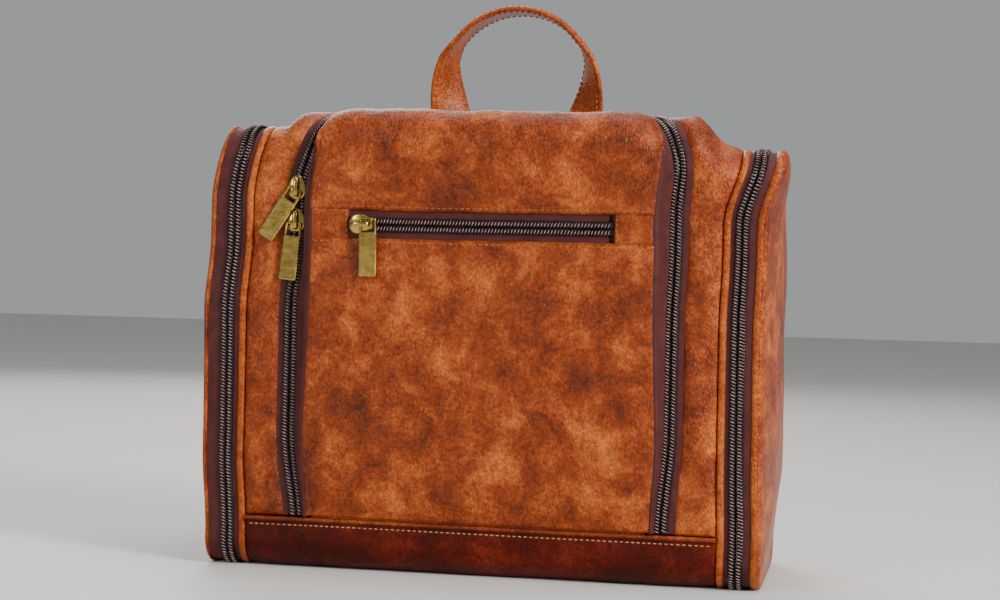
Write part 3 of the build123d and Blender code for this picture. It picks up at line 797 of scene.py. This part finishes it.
def flap_zip():
    ups = unit(zip_surface(0.0, 2.0) - zip_surface(0.0))
    coil_pair("flap", zip_surface(-COIL_OFF), zip_surface(COIL_OFF), ups, ("flap", "bag_body"),
              (("flap_zip_coil_inner",), ("flap_zip_coil_outer",)))
    rows = ((0.2, -0.5), (2.0, -0.5), (4.0, -0.4), (6.0, -0.55),
            (BORDER_EDGE - FLAP_ZIP + 1.0, -0.9))
    grid = np.array([zip_surface(d, h) for d, h in rows])
    skin = shell(grid, grid + grid_normals(grid) * TAPE_THICK)
    add_piece("flap_tape_outer", "bag_body", [skin], TAPE, ("flap_zip_tape_outer",))


# --- the cap ---
def side_panel(name, side):
    """The soft side cover: a pillow drawn in round its edge by the strip."""
    drops = [0.0, 0.4, 1.0, 2.0, 3.2, 4.6, 6.2, 8.0, 10.0]
    scales = [0.9, 0.76, 0.6, 0.42, 0.22, 0.05]
    depth = np.array(drops + [10 + (1 - share) * 50 for share in scales])
    swell = (SIDE_BULGE - CAP_EDGE - 0.6) * np.sin(pi / 2 * np.minimum(depth, 40) / 40)
    xs = CAP_EDGE - 0.6 + 1.6 * quarter_round(depth, 3) + swell
    grid = np.array([standing(side * x, loop)
                     for x, loop in zip(xs, inward_loops(200, drops, scales))])
    low_end = 1 - smooth((grid[..., 2] - 4) / 60)
    fold = waves(grid * np.array([1, 1, 0.35]), 34, 51 + side)
    inside = smooth(depth / 8)[:, None]
    grid[..., 0] += side * inside * (0.55 * waves(grid, 60, 53) + 0.5 * fold - 2.4 * low_end)
    n = grid_normals(grid, True)
    if (n[:, :, 0].mean() > 0) != (side > 0):
        n = -n
    cloth = grid[2:] - n[2:] * (2.0 + 0.5 * waves(grid[2:], 40, 57)[..., None])
    for label, outer, inner, material, slot, node in (
        ("side_leather", grid, grid - n * 1.4, BROWN, "leather", "side_panel"),
        ("cap_lining_cloth", cloth, cloth - n[2:] * 0.6, LINING, "lining_cloth", "cap_lining"),
    ):
        add_piece(f"{label}_{name}", f"{name}_cap", [shell(outer, inner, True, True)], material,
                  (f"{node}_{name}",))


def cap(name, side):
    body = f"{name}_cap"
    ring_piece(f"cap_edge_{name}", body, cap_strip_start(side), CAP_EDGE + 0.2, 1.3, -1.2, 2.0,
               STRIP, (f"cap_strip_{name}",), side, columns=11)
    side_panel(name, side)
    xs = spaced(SEAM_EDGE - 1.0, cap_strip_start(side) + 1.0, 1.5, (0.3, 0.9))
    ss = spaced(back_s(HEIGHT - TOP_ROUND + 2), back_s(BOTTOM_ROUND - 2), 5.0)
    skin = leather_skin(body_at(side * xs[:, None], ss), crown=0.5, reach=3, sink=0.9,
                        crease=0.15, outward=side, seed=61)[2]
    hinge = add_piece(f"side_hinge_leather_{name}", None, [skin], STRIP)
    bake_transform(hinge)


# --- the flap ---
RISE_SHARES = spaced(0.0, 1.0, 0.1, (0.01, 0.025, 0.05, 0.09))
REAR_SHARES = (0.2, 0.4, 0.6, 0.75, 0.88, 0.95, 1.0)
FLAP_DEPTH = FLAP_REAR - FLAP_HEAD_Y
FLAP_STRAIGHT = FLAP_EDGE - FLAP_ROUND


def face_y(z):
    share = (np.asarray(z, float) - FLAP_BOTTOM) / (FLAP_TOP - FLAP_BOTTOM)
    return FLAP_FOOT_Y + (FLAP_HEAD_Y - FLAP_FOOT_Y) * share


def face_grid(xs, zs, depth=0.0):
    """Points at a depth behind the flap's face."""
    x, z = np.meshgrid(xs, zs, indexing="ij")
    return np.stack([x, face_y(z) + depth, z], -1)


def flap_half(z):
    """Half the flap's width: it spreads towards its foot, where it stands out least."""
    return FLAP_EDGE + 3.2 * (1 - smooth((np.asarray(z, float) - FLAP_BOTTOM) / 115))


def rounded_column(x, head, depth):
    """Up the flap's face from the pocket, over its fold and back, for one width."""
    radius = min(FLAP_ROUND, 0.9 * depth)
    start = POCKET_HIGH - 1.0
    line_end = head - radius * tan((pi / 2 + FACE_TILT) / 2)
    fold_y, rear = float(face_y(line_end)) + radius, float(face_y(head)) + depth
    points = [(x, float(face_y(z)), z) for z in start + (line_end - start) * RISE_SHARES]
    points += [(x, fold_y - radius * cos(a), head - radius + radius * sin(a))
               for a in np.radians(range(10, 100, 10))]
    return points + [(x, fold_y + (rear - fold_y) * share, head) for share in REAR_SHARES]


def flap_corner(count):
    """(x, height, depth back) round the flap's top right corner, from side to top."""
    return [(FLAP_STRAIGHT + FLAP_ROUND * cos(turn),
             FLAP_TOP - FLAP_ROUND + FLAP_ROUND * sin(turn),
             max(1.8, FLAP_DEPTH * sin(turn) ** 0.9))
            for turn in np.linspace(0, 1, count) * pi / 2]


def flap_top(count):
    """Widths along the straight run of the flap's top, without its two ends."""
    return np.linspace(-FLAP_STRAIGHT, FLAP_STRAIGHT, count)[1:-1]


def flap_edge_line():
    """The flap's outline, with as many points as zip_line: left foot, over, right foot."""
    rise = np.linspace(FLAP_BOTTOM, FLAP_TOP - FLAP_ROUND, 90)[:-1]
    corner = [(x, float(face_y(z)) + depth, z) for x, z, depth in flap_corner(26)]
    right = np.concatenate([np.stack([flap_half(rise), face_y(rise), rise], -1), corner])
    top = [(x, FLAP_REAR, FLAP_TOP) for x in flap_top(70)]
    return np.concatenate([right * np.array([-1, 1, 1]), top, right[::-1]])


def flap_gusset():
    """The zip's inner tape, rising from the coil to the flap's edge."""
    edge, foot = flap_edge_line(), zip_surface(-CHAIN + 0.4, 0.1)
    rows = [zip_surface(-0.25, -0.55), foot]
    for share in (0.25, 0.5, 0.75, 0.94):
        line = foot + (edge - foot) * share
        line[:, 1] -= 0.5 * sin(share * pi)
        rows.append(line)
    rows.append(edge * np.array([0.985, 1, 1]) + np.array([0, 1.0, -0.6]))
    grid = np.array(rows)
    n = grid_normals(grid) * 0.35
    add_piece("flap_gusset_tape", "flap", [shell(grid + n, grid - n)], TAPE,
              ("flap_gusset",), sharp=80)


def front_skin(grid, **look):
    """A leather of the front, whichever way its grid's own normals point."""
    way = -1 if grid_normals(grid)[..., 1].mean() > 0 else 1
    return leather_skin(grid, outward=way, **look)


def flap_panels():
    corner = flap_corner(14)
    columns = [(-x, head, depth) for x, head, depth in corner]
    columns += [(x, FLAP_TOP, FLAP_DEPTH) for x in flap_top(30)]
    upper = np.array([rounded_column(*column) for column in columns + corner[::-1]])
    lower = face_grid(spaced(-FLAP_EDGE, FLAP_EDGE, 4.5),
                      spaced(FLAP_BOTTOM, POCKET_LOW + 1.0, 4.5))
    lower[..., 0] *= flap_half(lower[..., 2]) / FLAP_EDGE
    rows = []
    for label, grid, edge, crown, reach, crease, seed in (
        ("upper", upper, "start", 1.5, 9, 0.5, 71), ("lower", lower, "end", 2.2, 16, 0.6, 73),
    ):
        outer, n, skin = front_skin(grid, crown=crown, reach=reach, sink=0.3, crease=crease,
                                    fold=1.2, thick=2.2, seed=seed)
        add_piece(f"flap_leather_{label}", "flap", [skin], BROWN,
                  (f"flap_panel_{label}",))
        rows += seam(outer, n, (edge,), 2.6)
    add_piece("flap_stitches", "flap", rows, TONAL)

    for name, side in SIDES:
        grid = face_grid(spaced(POCKET_END - 0.5, FLAP_EDGE - 0.2, 2.5) * side,
                         spaced(POCKET_LOW + 0.2, POCKET_HIGH - 0.2, 2.5), 0.5)
        outer, n, skin = front_skin(grid, crown=0.5, reach=3, sink=0.2, crease=0.2, fold=0.8,
                                    seed=75)
        add_piece(f"pocket_tab_leather_{name}", "flap", [skin], BROWN,
                  (f"pocket_tab_{name}",))
        rows = seam(outer, n, ("low",), 1.8, pitch=2.4, length=1.7, skip=1)
        add_piece(f"pocket_tab_stitches_{name}", "flap", rows, TONAL)


def pocket_zip():
    middle = (POCKET_LOW + POCKET_HIGH) / 2
    off = np.array([0, -cos(FACE_TILT), -sin(FACE_TILT)])
    xs = np.linspace(0.5 - POCKET_END, POCKET_END - 0.5, 160)
    coils = face_grid(xs, [middle - COIL_OFF, middle + COIL_OFF], 1.1)
    coil_pair("pocket", coils[:, 0], coils[:, 1], off, ("flap", "flap"),
              (("pocket_zip_coil",), ()))
    zs = [POCKET_LOW - 1.0, *(middle + np.arange(-4, 6, 2)), POCKET_HIGH + 1.0]
    grid = face_grid(xs[::4], zs, 1.5)
    add_piece("pocket_tape", "flap", [shell(grid, grid - off * TAPE_THICK)], TAPE,
              ("pocket_zip_tape",))


def flap_hinge():
    """The leather fold that joins the flap's foot to the band."""
    zs = np.linspace(FLAP_BOTTOM - 6, FLAP_BOTTOM + 4, 12)
    x, z = np.meshgrid(spaced(-FLAP_EDGE + 0.5, FLAP_EDGE - 0.5, 5.0), zs, indexing="ij")
    inside = np.interp(z, [FLAP_BOTTOM - 6, FLAP_BOTTOM - 2, FLAP_BOTTOM + 4],
                       [FRONT + 2.6, FRONT + 0.6, FLAP_FOOT_Y + 2.6])
    grid = np.stack([x, inside, z], -1)
    n = grid_normals(grid) * 0.6
    hinge = add_piece("flap_hinge_leather", None, [shell(grid + n, grid - n)], STRIP)
    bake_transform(hinge)


# --- the handle ---
HANDLE_BASE = HEIGHT + 2.2
SPREAD_BASE, SPREAD_TOP = 31.0, 40.0
STRAP_WIDTH, STRAP_THICK = 20.0, 3.0
TWIST_END = 0.75            # the strap's quarter turn is done at this share of its height
ROOT_SINK = 1.6             # its roots reach this far into the patches


def handle_station(t):
    rise = HANDLE_TOP - STRAP_THICK / 2 - HANDLE_BASE
    turn = pi * t
    level = max(0.0, sin(turn)) ** 0.62
    spread = SPREAD_BASE + (SPREAD_TOP - SPREAD_BASE) * min(1, level * 1.6)
    return np.array([-spread * cos(turn), HANDLE_Y, HANDLE_BASE + rise * level])


def rotated(v, axis, angle):
    axis = unit(axis)
    return (v * cos(angle) + np.cross(axis, v) * sin(angle)
            + axis * np.dot(axis, v) * (1 - cos(angle)))


def handle():
    """A twisted strap of two leathers with a stitched row along each edge."""
    turn = np.linspace(0, 2 * pi, 28, endpoint=False)
    section = np.stack([signed_power(np.cos(turn), 0.35) * STRAP_WIDTH / 2,
                        signed_power(np.sin(turn), 0.7) * STRAP_THICK / 2], -1)
    loops, lines = [], []
    for t in np.linspace(0, 1, 90):
        here = handle_station(t)
        ahead = handle_station(min(1, t + 0.01)) - handle_station(max(0, t - 0.01))
        if t in (0.0, 1.0):
            ahead = np.array([0, 0, 1.0 - 2 * t])
        ahead = unit(ahead)
        level = (here[2] - HANDLE_BASE) / (HANDLE_TOP - HANDLE_BASE)
        twist = radians(90) * (1 - min(1, level / TWIST_END))
        across = rotated(np.array([0, 1.0, 0]), ahead, -twist)
        up = np.cross(ahead, across)
        here = here - np.array([0, 0, ROOT_SINK]) * (1 - min(1, level * 8))
        loops.append([here + across * a + up * b for a, b in section])
        lines.append([(here + across * a * (STRAP_WIDTH / 2 - 2.2) + up * b * STRAP_THICK / 2,
                       up * b) for a in (-1, 1) for b in (-1, 1)])
    rows = []
    for points, ups in np.array(lines).transpose(1, 2, 0, 3):
        rows += stitches(points, ups, pitch=2.9, length=1.9, width=0.4, skip=3)
    for name, parts, material, nodes in (
        ("handle_leather", [skin_over(np.array(loops))], STRIP, ("handle_strap",)),
        ("handle_stitches", rows, TONAL, ()),
    ):
        piece = add_piece(name, None, parts, material, nodes, soft=False)
        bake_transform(piece)


# --- linings and bands ---
def ring_cloth(name, node, inset, s_range=None, swell=0.5, seed=81):
    """A cloth lining round the section, with soft wrinkles, in place of its CAD node."""
    x0, x1 = low(node, 0), high(node, 0)
    xs = np.linspace(x0, x1, max(6, int((x1 - x0) / 5)))[:, None]
    wrap = s_range is None
    ss = np.linspace(0, AROUND, 150, endpoint=False) if wrap else np.linspace(*s_range, 150)
    wrinkle = np.minimum(swell * waves(body_at(xs, ss), 38, seed), 0)
    layers = [body_at(xs, ss, wrinkle - inset - depth) for depth in (0.1, 0.8)]
    add_piece(name, "bag_body", [shell(*layers, wrap)], LINING, (node,))


def divider(name, node, side):
    """A padded wall across the bag, quilted a little and bound round its edge."""
    middle, half = (low(node, 0) + high(node, 0)) / 2, (high(node, 0) - low(node, 0)) / 2
    depths = (3.2, 3.8, 5.0, 8.0, 13.0, 20.0, 28.0)
    loops = inward_loops(160, depths, (0.8, 0.6, 0.4, 0.2, 0.05))
    plump = [0.55 + 0.4 * smooth((depth - 3.2) / 12) for depth in depths] + [0.95] * 5
    layers = []
    for way in (side, -side):
        grid = np.array([standing(middle + way * half * p, loop) for p, loop in zip(plump, loops)])
        grid[..., 0] += 0.25 * waves(grid, 45, 83)
        layers.append(grid)
    add_piece(name, "bag_body", [shell(*layers, True, True)], LINING, (node,))
    rim = standing(middle, inward_loops(160, (4.4,))[0])
    add_piece(f"{name}_binding", "bag_body", [tube(rim, (1, 0, 0), 1.35, 8, 1.15, closed=True)],
              TAPE)


def looped_band(name, body, node, wall_axis, outward, loops):
    """An elastic band sewn down at intervals, standing off its wall in shallow loops."""
    a, b = np.array(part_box(node)) / MM
    run = 1 - wall_axis
    step = 12
    along = np.linspace(a[run], b[run], loops * step + 1)
    phase = np.linspace(0, loops * pi, len(along))[:, None]
    zs = np.linspace(a[2], b[2], 9)
    grid = np.zeros((len(along), len(zs), 3))
    grid[..., run] = along[:, None]
    grid[..., 2] = zs + 0.5 * np.sin(2 * phase)
    stand = 0.5 + 3.2 * np.abs(np.sin(phase)) * (1 + 0.12 * np.cos(np.linspace(0, pi, 9)))
    grid[..., wall_axis] = (b if outward < 0 else a)[wall_axis] + outward * stand
    off = np.zeros(3)
    off[wall_axis] = outward
    half = off * 0.45
    add_piece(name, body, [shell(grid + half, grid - half)], ELASTIC, (node,))
    tacks = []
    for i in range(loops + 1):
        spot = np.repeat(grid[i * step][:1], step, 0)
        spot[:, 2] = np.linspace(a[2] + 1, b[2] - 1, step)
        tacks += stitches(spot + off * 0.6, off, pitch=2.4, length=1.8, skip=0.5)
    add_piece(f"{name}_tacks", body, tacks, THREAD_AND_PAINTED_COIL_HIGHLIGHT)


def face_cloth(name, node, depth, thick, seed, material=LINING, bulge=0.0):
    """A flat cloth piece behind the flap's leather, at a depth below its face."""
    a, b = np.array(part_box(node)) / MM
    grid = face_grid(np.linspace(a[0], b[0], 34), np.linspace(a[2] + 0.4, b[2] - 0.4, 34), depth)
    across, along = edge_distances(grid)
    swell = bulge * smooth(across / 18) * smooth((grid[..., 2] - a[2]) / 20)
    grid[..., 1] += swell + 0.2 * waves(grid, 32, seed) * smooth(np.minimum(across, along) / 5)
    step = np.array([0, thick / 2, 0])
    add_piece(name, "flap", [shell(grid + step, grid - step)], material, (node,))
    return grid


def flap_inside():
    face_cloth("pocket_bag_cloth", "pocket_bag", 3.8, 0.7, 93)
    face_cloth("flap_lining_cloth", "flap_lining", 5.0, 0.6, 95)
    net = face_cloth("flap_mesh_pocket_net", "flap_mesh_pocket", 6.3, 0.5, 97, MESH,
                     3.0)
    rims = [tube(line, (0, 1, 0), 1.5, 8, 0.45)
            for line in (net[0], net[-1], net[:, 0], net[:, -1])]
    add_piece("flap_mesh_pocket_binding", "flap", rims, TAPE)


def linings():
    around_back = (top_s(TOP_PANEL_FRONT) - AROUND, front_s(BAND_TOP))
    ring_cloth("main_lining_cloth", "main_lining", 4.6, around_back)
    looped_band("bottle_band_elastic", "bag_body", "bottle_band", 1, -1, 5)
    for name, side in SIDES:
        ring_cloth(f"side_lining_cloth_{name}", f"side_lining_{name}", 3.1, None, 0.1, 85)
        divider(f"partition_wall_{name}", f"partition_{name}", side)
        looped_band(f"brush_band_elastic_{name}", "bag_body", f"brush_band_{name}", 0, side, 4)


# --- patches and hanging strap ---
def patch(name, node, up_axis, at, crown, boxes):
    """Sewn leather patches, each with a box of stitches."""
    skins, rows = [], []
    for x0, x1, v0, v1 in boxes:
        xs, vs = (spaced(*ends, 3.0, (0.3, 0.8, 1.5)) for ends in ((x0, x1), (v0, v1)))
        x, v = np.meshgrid(xs, vs, indexing="ij")
        flat = np.full(x.shape, at)
        grid = np.stack([x, v, flat] if up_axis == 2 else [x, flat, v], -1)
        outer, n, skin = leather_skin(grid, crown=crown, reach=2, fold=0.5, crease=0.05,
                                      thick=0.9, outward=1 if up_axis == 2 else -1, seed=99)
        skins.append(skin)
        rows += seam(outer, n, ("start", "end", "low", "high"), 1.9, pitch=2.3, length=1.6,
                     width=0.45, skip=1.6)
    add_piece(name, "bag_body", skins, STRIP, (node,))
    add_piece(f"{name}_stitches", "bag_body", rows, TONAL)


def patches():
    a, b = np.array(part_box("handle_anchors")) / MM
    spread = (b[0] - a[0] - 26.0) / 2
    boxes = [(c - 13, c + 13, a[1], b[1]) for c in (-spread, spread)]
    patch("handle_patches", "handle_anchors", 2, HEIGHT + 1.4, 0.5, boxes)
    a, b = np.array(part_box("hook_anchor")) / MM
    patch("hook_patch", "hook_anchor", 1, b[1] - 0.2, 0.4, [(a[0], b[0], a[2], b[2])])


# Radii of the ring's wire and of the strap's loop round it; half the strap's thickness.
RING_WIRE, STRAP_LOOP, STRAP_HALF = 1.25, 2.8, 1.1


def hanging_strap():
    """The folding strap: leather from its hinge down and round the ring, sewn to itself."""
    a, b = np.array(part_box("hook_strap")) / MM
    ring_a, ring_b = np.array(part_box("hook_ring")) / MM
    wire_y, wire_z = (ring_a[1] + ring_b[1]) / 2, ring_b[2] - RING_WIRE
    half, loop = STRAP_HALF, STRAP_LOOP
    pin_y, pin_z = a[1] + half, b[2] - half
    section = [(pin_y + half * cos(t), pin_z + half * sin(t)) for t in np.linspace(0, pi, 9)]
    section += [(pin_y - half, z) for z in np.linspace(pin_z - 3, wire_z + 8, 10)]
    section += [(wire_y + loop * cos(t), wire_z + loop * sin(t))
                for t in np.linspace(0.8 * pi, 2.2 * pi, 19)]
    section += [(pin_y + half, z) for z in np.linspace(wire_z + 8, pin_z - 3, 10)]
    section = np.array(section)
    inward = np.sign(section[:, 0].mean() - section[:, 0])
    xs = spaced(a[0], b[0], 2.0, (0.25, 0.7, 1.3))[:, None]
    tuck = 0.45 * (1 - quarter_round(np.minimum(xs - a[0], b[0] - xs), 0.7))
    layers = []
    for inset in (0.0, 0.5):
        y = section[:, 0] + inward * (tuck + inset)
        layers.append(np.stack(np.broadcast_arrays(xs, y, section[:, 1]), -1))
    add_piece("hanging_strap", "hook_strap_body", [shell(*layers, True)], STRIP,
              ("hook_strap",), soft=False)
    sewn_y, foot_z = pin_y + half + 0.05, wire_z + 6
    edges = (a[0] + 2.2, b[0] - 2.2)
    lines = [([(x, sewn_y, z) for z in np.linspace(foot_z, pin_z - 2, 12)], 1) for x in edges]
    lines.append(([(x, sewn_y, foot_z) for x in np.linspace(*edges, 8)], 0.5))
    rows = []
    for line, skip in lines:
        rows += stitches(np.array(line), (0, 1, 0), pitch=2.6, width=0.5, skip=skip)
    add_piece("hanging_strap_stitches", "hook_strap_body", rows, TONAL, soft=False)


# --- sliders and pulls ---
SLIDER_HALF, SLIDER_WIDE = 5.5, 4.7
PLATE, GAP = 1.2, 0.3
CROWN_REACH, CROWN_CLEAR, CROWN_HALF = 3.6, 2.2, 1.2
PULL_REACH, PULL_HALF, WINDOW = 26.5, 4.1, 6.0


def in_frame(origin, along, off):
    """A function that places local (along, across, off) points in the frame of a zip."""
    along, off = unit(np.array(along, float)), unit(np.array(off, float))
    axes = np.stack([along, np.cross(off, along), off])
    return lambda points: np.asarray(origin) + np.asarray(points) @ axes


def stacked(levels):
    """A closed solid over flat outlines, each at its height."""
    return skin_over(np.array([np.pad(outline, ((0, 0), (0, 1)), constant_values=h)
                               for outline, h in levels]))


def slider_parts(place):
    """An almond-shaped, domed plate with turned-down sides and an arched crown."""
    turn = np.linspace(0, 2 * pi, 40, endpoint=False)
    wide = SLIDER_WIDE * (1 - 0.2 * np.cos(turn)) * signed_power(np.sin(turn), 0.8)
    outline = np.stack([SLIDER_HALF * np.cos(turn), wide / 1.05], -1)
    levels = ((0.93, 0), (1.0, 0.2), (1.0, 0.75), (0.95, 1.05), (0.82, 1.22), (0.5, 1.42),
              (0.2, 1.5))
    verts, faces = stacked([(outline * scale, GAP + h) for scale, h in levels])
    t = np.linspace(0, pi, 25)
    reach = (CROWN_REACH + 0.5) * signed_power(np.cos(t), 0.55)
    rise = GAP + PLATE - 0.1 + (CROWN_CLEAR + 0.75) * np.abs(np.sin(t)) ** 0.5
    arch = np.stack([reach, 0 * t, rise], -1)
    loops, arch_faces = tube(arch, (0, 1, 0), 0.5, 10, CROWN_HALF / 0.5 * 0.9)
    return [(place(verts), faces), (place(loops), arch_faces)]


def rounded_rectangle(half_x, half_y, corner):
    points = []
    for sx, sy, start in ((1, 1, 0), (-1, 1, 90), (-1, -1, 180), (1, -1, 270)):
        centre_x, centre_y = (half_x - corner) * sx, (half_y - corner) * sy
        points += [(centre_x + corner * cos(t), centre_y + corner * sin(t))
                   for t in np.radians(np.linspace(start, start + 90, 5))]
    return np.array(points)


def pull_parts(place):
    """A bevelled bar with a squared loop at its head, cut from one plate."""
    bar = rounded_rectangle((PULL_REACH - WINDOW) / 2, PULL_HALF, 0.9)
    inset = bar - np.sign(bar) * 0.45
    verts, faces = stacked([(inset, -0.6), (bar, -0.25), (bar, 0.25), (inset, 0.6)])
    verts[:, 0] += (WINDOW + PULL_REACH) / 2
    head = np.pad(rounded_rectangle(3.6, PULL_HALF - 0.65, 0.8), ((0, 0), (0, 1)))
    head[:, 0] += 3.6
    loops, head_faces = tube(head, (0, 0, 1), 0.62, 10, 0.95, closed=True)
    return [(place(verts), faces), (place(loops), head_faces)]


def hardware():
    """Sliders and pulls on the front, placed from their CAD nodes' boxes."""
    swing, lean = radians(33.0), radians(6.0)
    face_off = (0, -cos(FACE_TILT), -sin(FACE_TILT))
    face_down = (0, sin(FACE_TILT), -cos(FACE_TILT))
    stand = GAP + (PLATE + CROWN_CLEAR + PLATE) / 2
    for slider, pull, along, off, hang, bar in (
        ("flap_slider_upper", "flap_pull_upper", (0, 0, 1), (0, -1, 0),
         (-sin(swing), 0, -cos(swing)), (-1.1, 0)),
        ("flap_slider_lower", "flap_pull_lower", (0, 0, 1), (0, -1, 0),
         (-sin(lean), 0, -cos(lean)), (-1.5, 0.5)),
        ("pocket_slider", "pocket_pull", (1, 0, 0), face_off, face_down, (CROWN_REACH, 2.6)),
    ):
        middle = (np.array(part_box(slider)) / MM).mean(0)
        place = in_frame(middle - np.array(off) * stand, along, off)
        hung = in_frame(place((*bar, GAP + PLATE + CROWN_CLEAR / 2)), hang, off)
        for node, parts, sharp in ((slider, slider_parts(place), 40), (pull, pull_parts(hung), 25)):
            add_piece(f"{node}_brass", f"{node}_body", parts, BRASS, (node,),
                      sharp=sharp, soft=False)


# --- build ---
foot_band()
top_and_back()
for name, side in SIDES:
    front_border(name, side)
    ring_piece(f"seam_edge_{name}", "bag_body", BODY_EDGE, SEAM_EDGE, 1.2, -1.1, 2.0, STRIP,
               (f"seam_strip_{name}",), side, columns=11)
    side_zip(name, side)
    cap(name, side)
for build in (flap_zip, flap_panels, flap_gusset, pocket_zip, flap_hinge, handle, linings,
              flap_inside, patches, hanging_strap, hardware):
    build()


def finish_nodes():
    """Materials and softened edges for the CAD pieces that are shown as they are."""
    looks = {"antique_brass": (BRASS, 0.3), "stiffener": (BOARD, 0.2)}
    slots = {p["node"]: p["material_slot"] for p in frame["record"]["subparts"]}
    for node, piece in frame["nodes"].items():
        if piece.hide_render:
            continue
        material, edge = looks[slots[node]]
        piece.data.materials.clear()
        piece.data.materials.append(material)
        bevel = piece.modifiers.new("softened_edge", "BEVEL")
        bevel.width = edge * MM
        bevel.segments = 3
        bevel.limit_method = "ANGLE"
        bevel.angle_limit = radians(35)
        bevel.harden_normals = True


finish_nodes()


# --- stage, light, camera ---
def stage():
    mesh = bpy.data.meshes.new("floor")
    reach = 6.0
    corners = [(x * reach, y * reach, 0) for x, y in ((-1, -1), (1, -1), (1, 1), (-1, 1))]
    mesh.from_pydata(corners, [], [(0, 1, 2, 3)])
    material = Nodes("floor").set(Base_Color=(0.62, 0.60, 0.57), Roughness=0.6)
    mesh.materials.append(material)
    floor = bpy.data.objects.new("floor", mesh)
    bpy.context.scene.collection.objects.link(floor)

    world = bpy.data.worlds.new("studio")
    world.use_nodes = True
    background = world.node_tree.nodes["Background"]
    background.inputs["Color"].default_value = (0.83, 0.85, 0.86, 1)
    background.inputs["Strength"].default_value = 0.42
    bpy.context.scene.world = world

    for name, spot, aim, size, power in (
        ("key", (1.35, -0.9, 0.95), (0, 0, 0.12), (0.45, 0.8), 46.0),
        ("fill", (-0.9, -1.6, 0.7), (0, 0, 0.12), (0.3, 0.8), 11.0),
        ("over", (0.1, 0.1, 1.5), (0, 0, 0.1), (1.1, 0.7), 12.0),
        ("behind", (-0.6, 1.4, 1.0), (0, 0, 0.1), (0.9, 0.9), 13.0),
    ):
        lamp = bpy.data.lights.new(name, "AREA")
        lamp.shape, lamp.size, lamp.size_y, lamp.energy = "RECTANGLE", *size, power
        light = bpy.data.objects.new(name, lamp)
        light.location = spot
        light.rotation_euler = (Vector(aim) - Vector(spot)).to_track_quat("-Z", "Y").to_euler()
        bpy.context.scene.collection.objects.link(light)


def camera(azimuth=11.0, elevation=0.25, roll=1.54, distance=0.9506, target=(-0.001, 0.0, 0.1275)):
    data = bpy.data.cameras.new("camera")
    data.lens, data.sensor_width = 70.9, 36.0
    cam = bpy.data.objects.new("camera", data)
    bpy.context.scene.collection.objects.link(cam)
    a, e = radians(azimuth), radians(elevation)
    away = Vector((sin(a) * cos(e), -cos(a) * cos(e), sin(e)))
    cam.location = Vector(target) + away * distance
    look = (-away).to_track_quat("-Z", "Y").to_matrix().to_4x4()
    rolled = Matrix.Rotation(radians(roll), 4, "Z")
    cam.matrix_world = Matrix.Translation(cam.location) @ look @ rolled
    bpy.context.scene.camera = cam


stage()
camera()
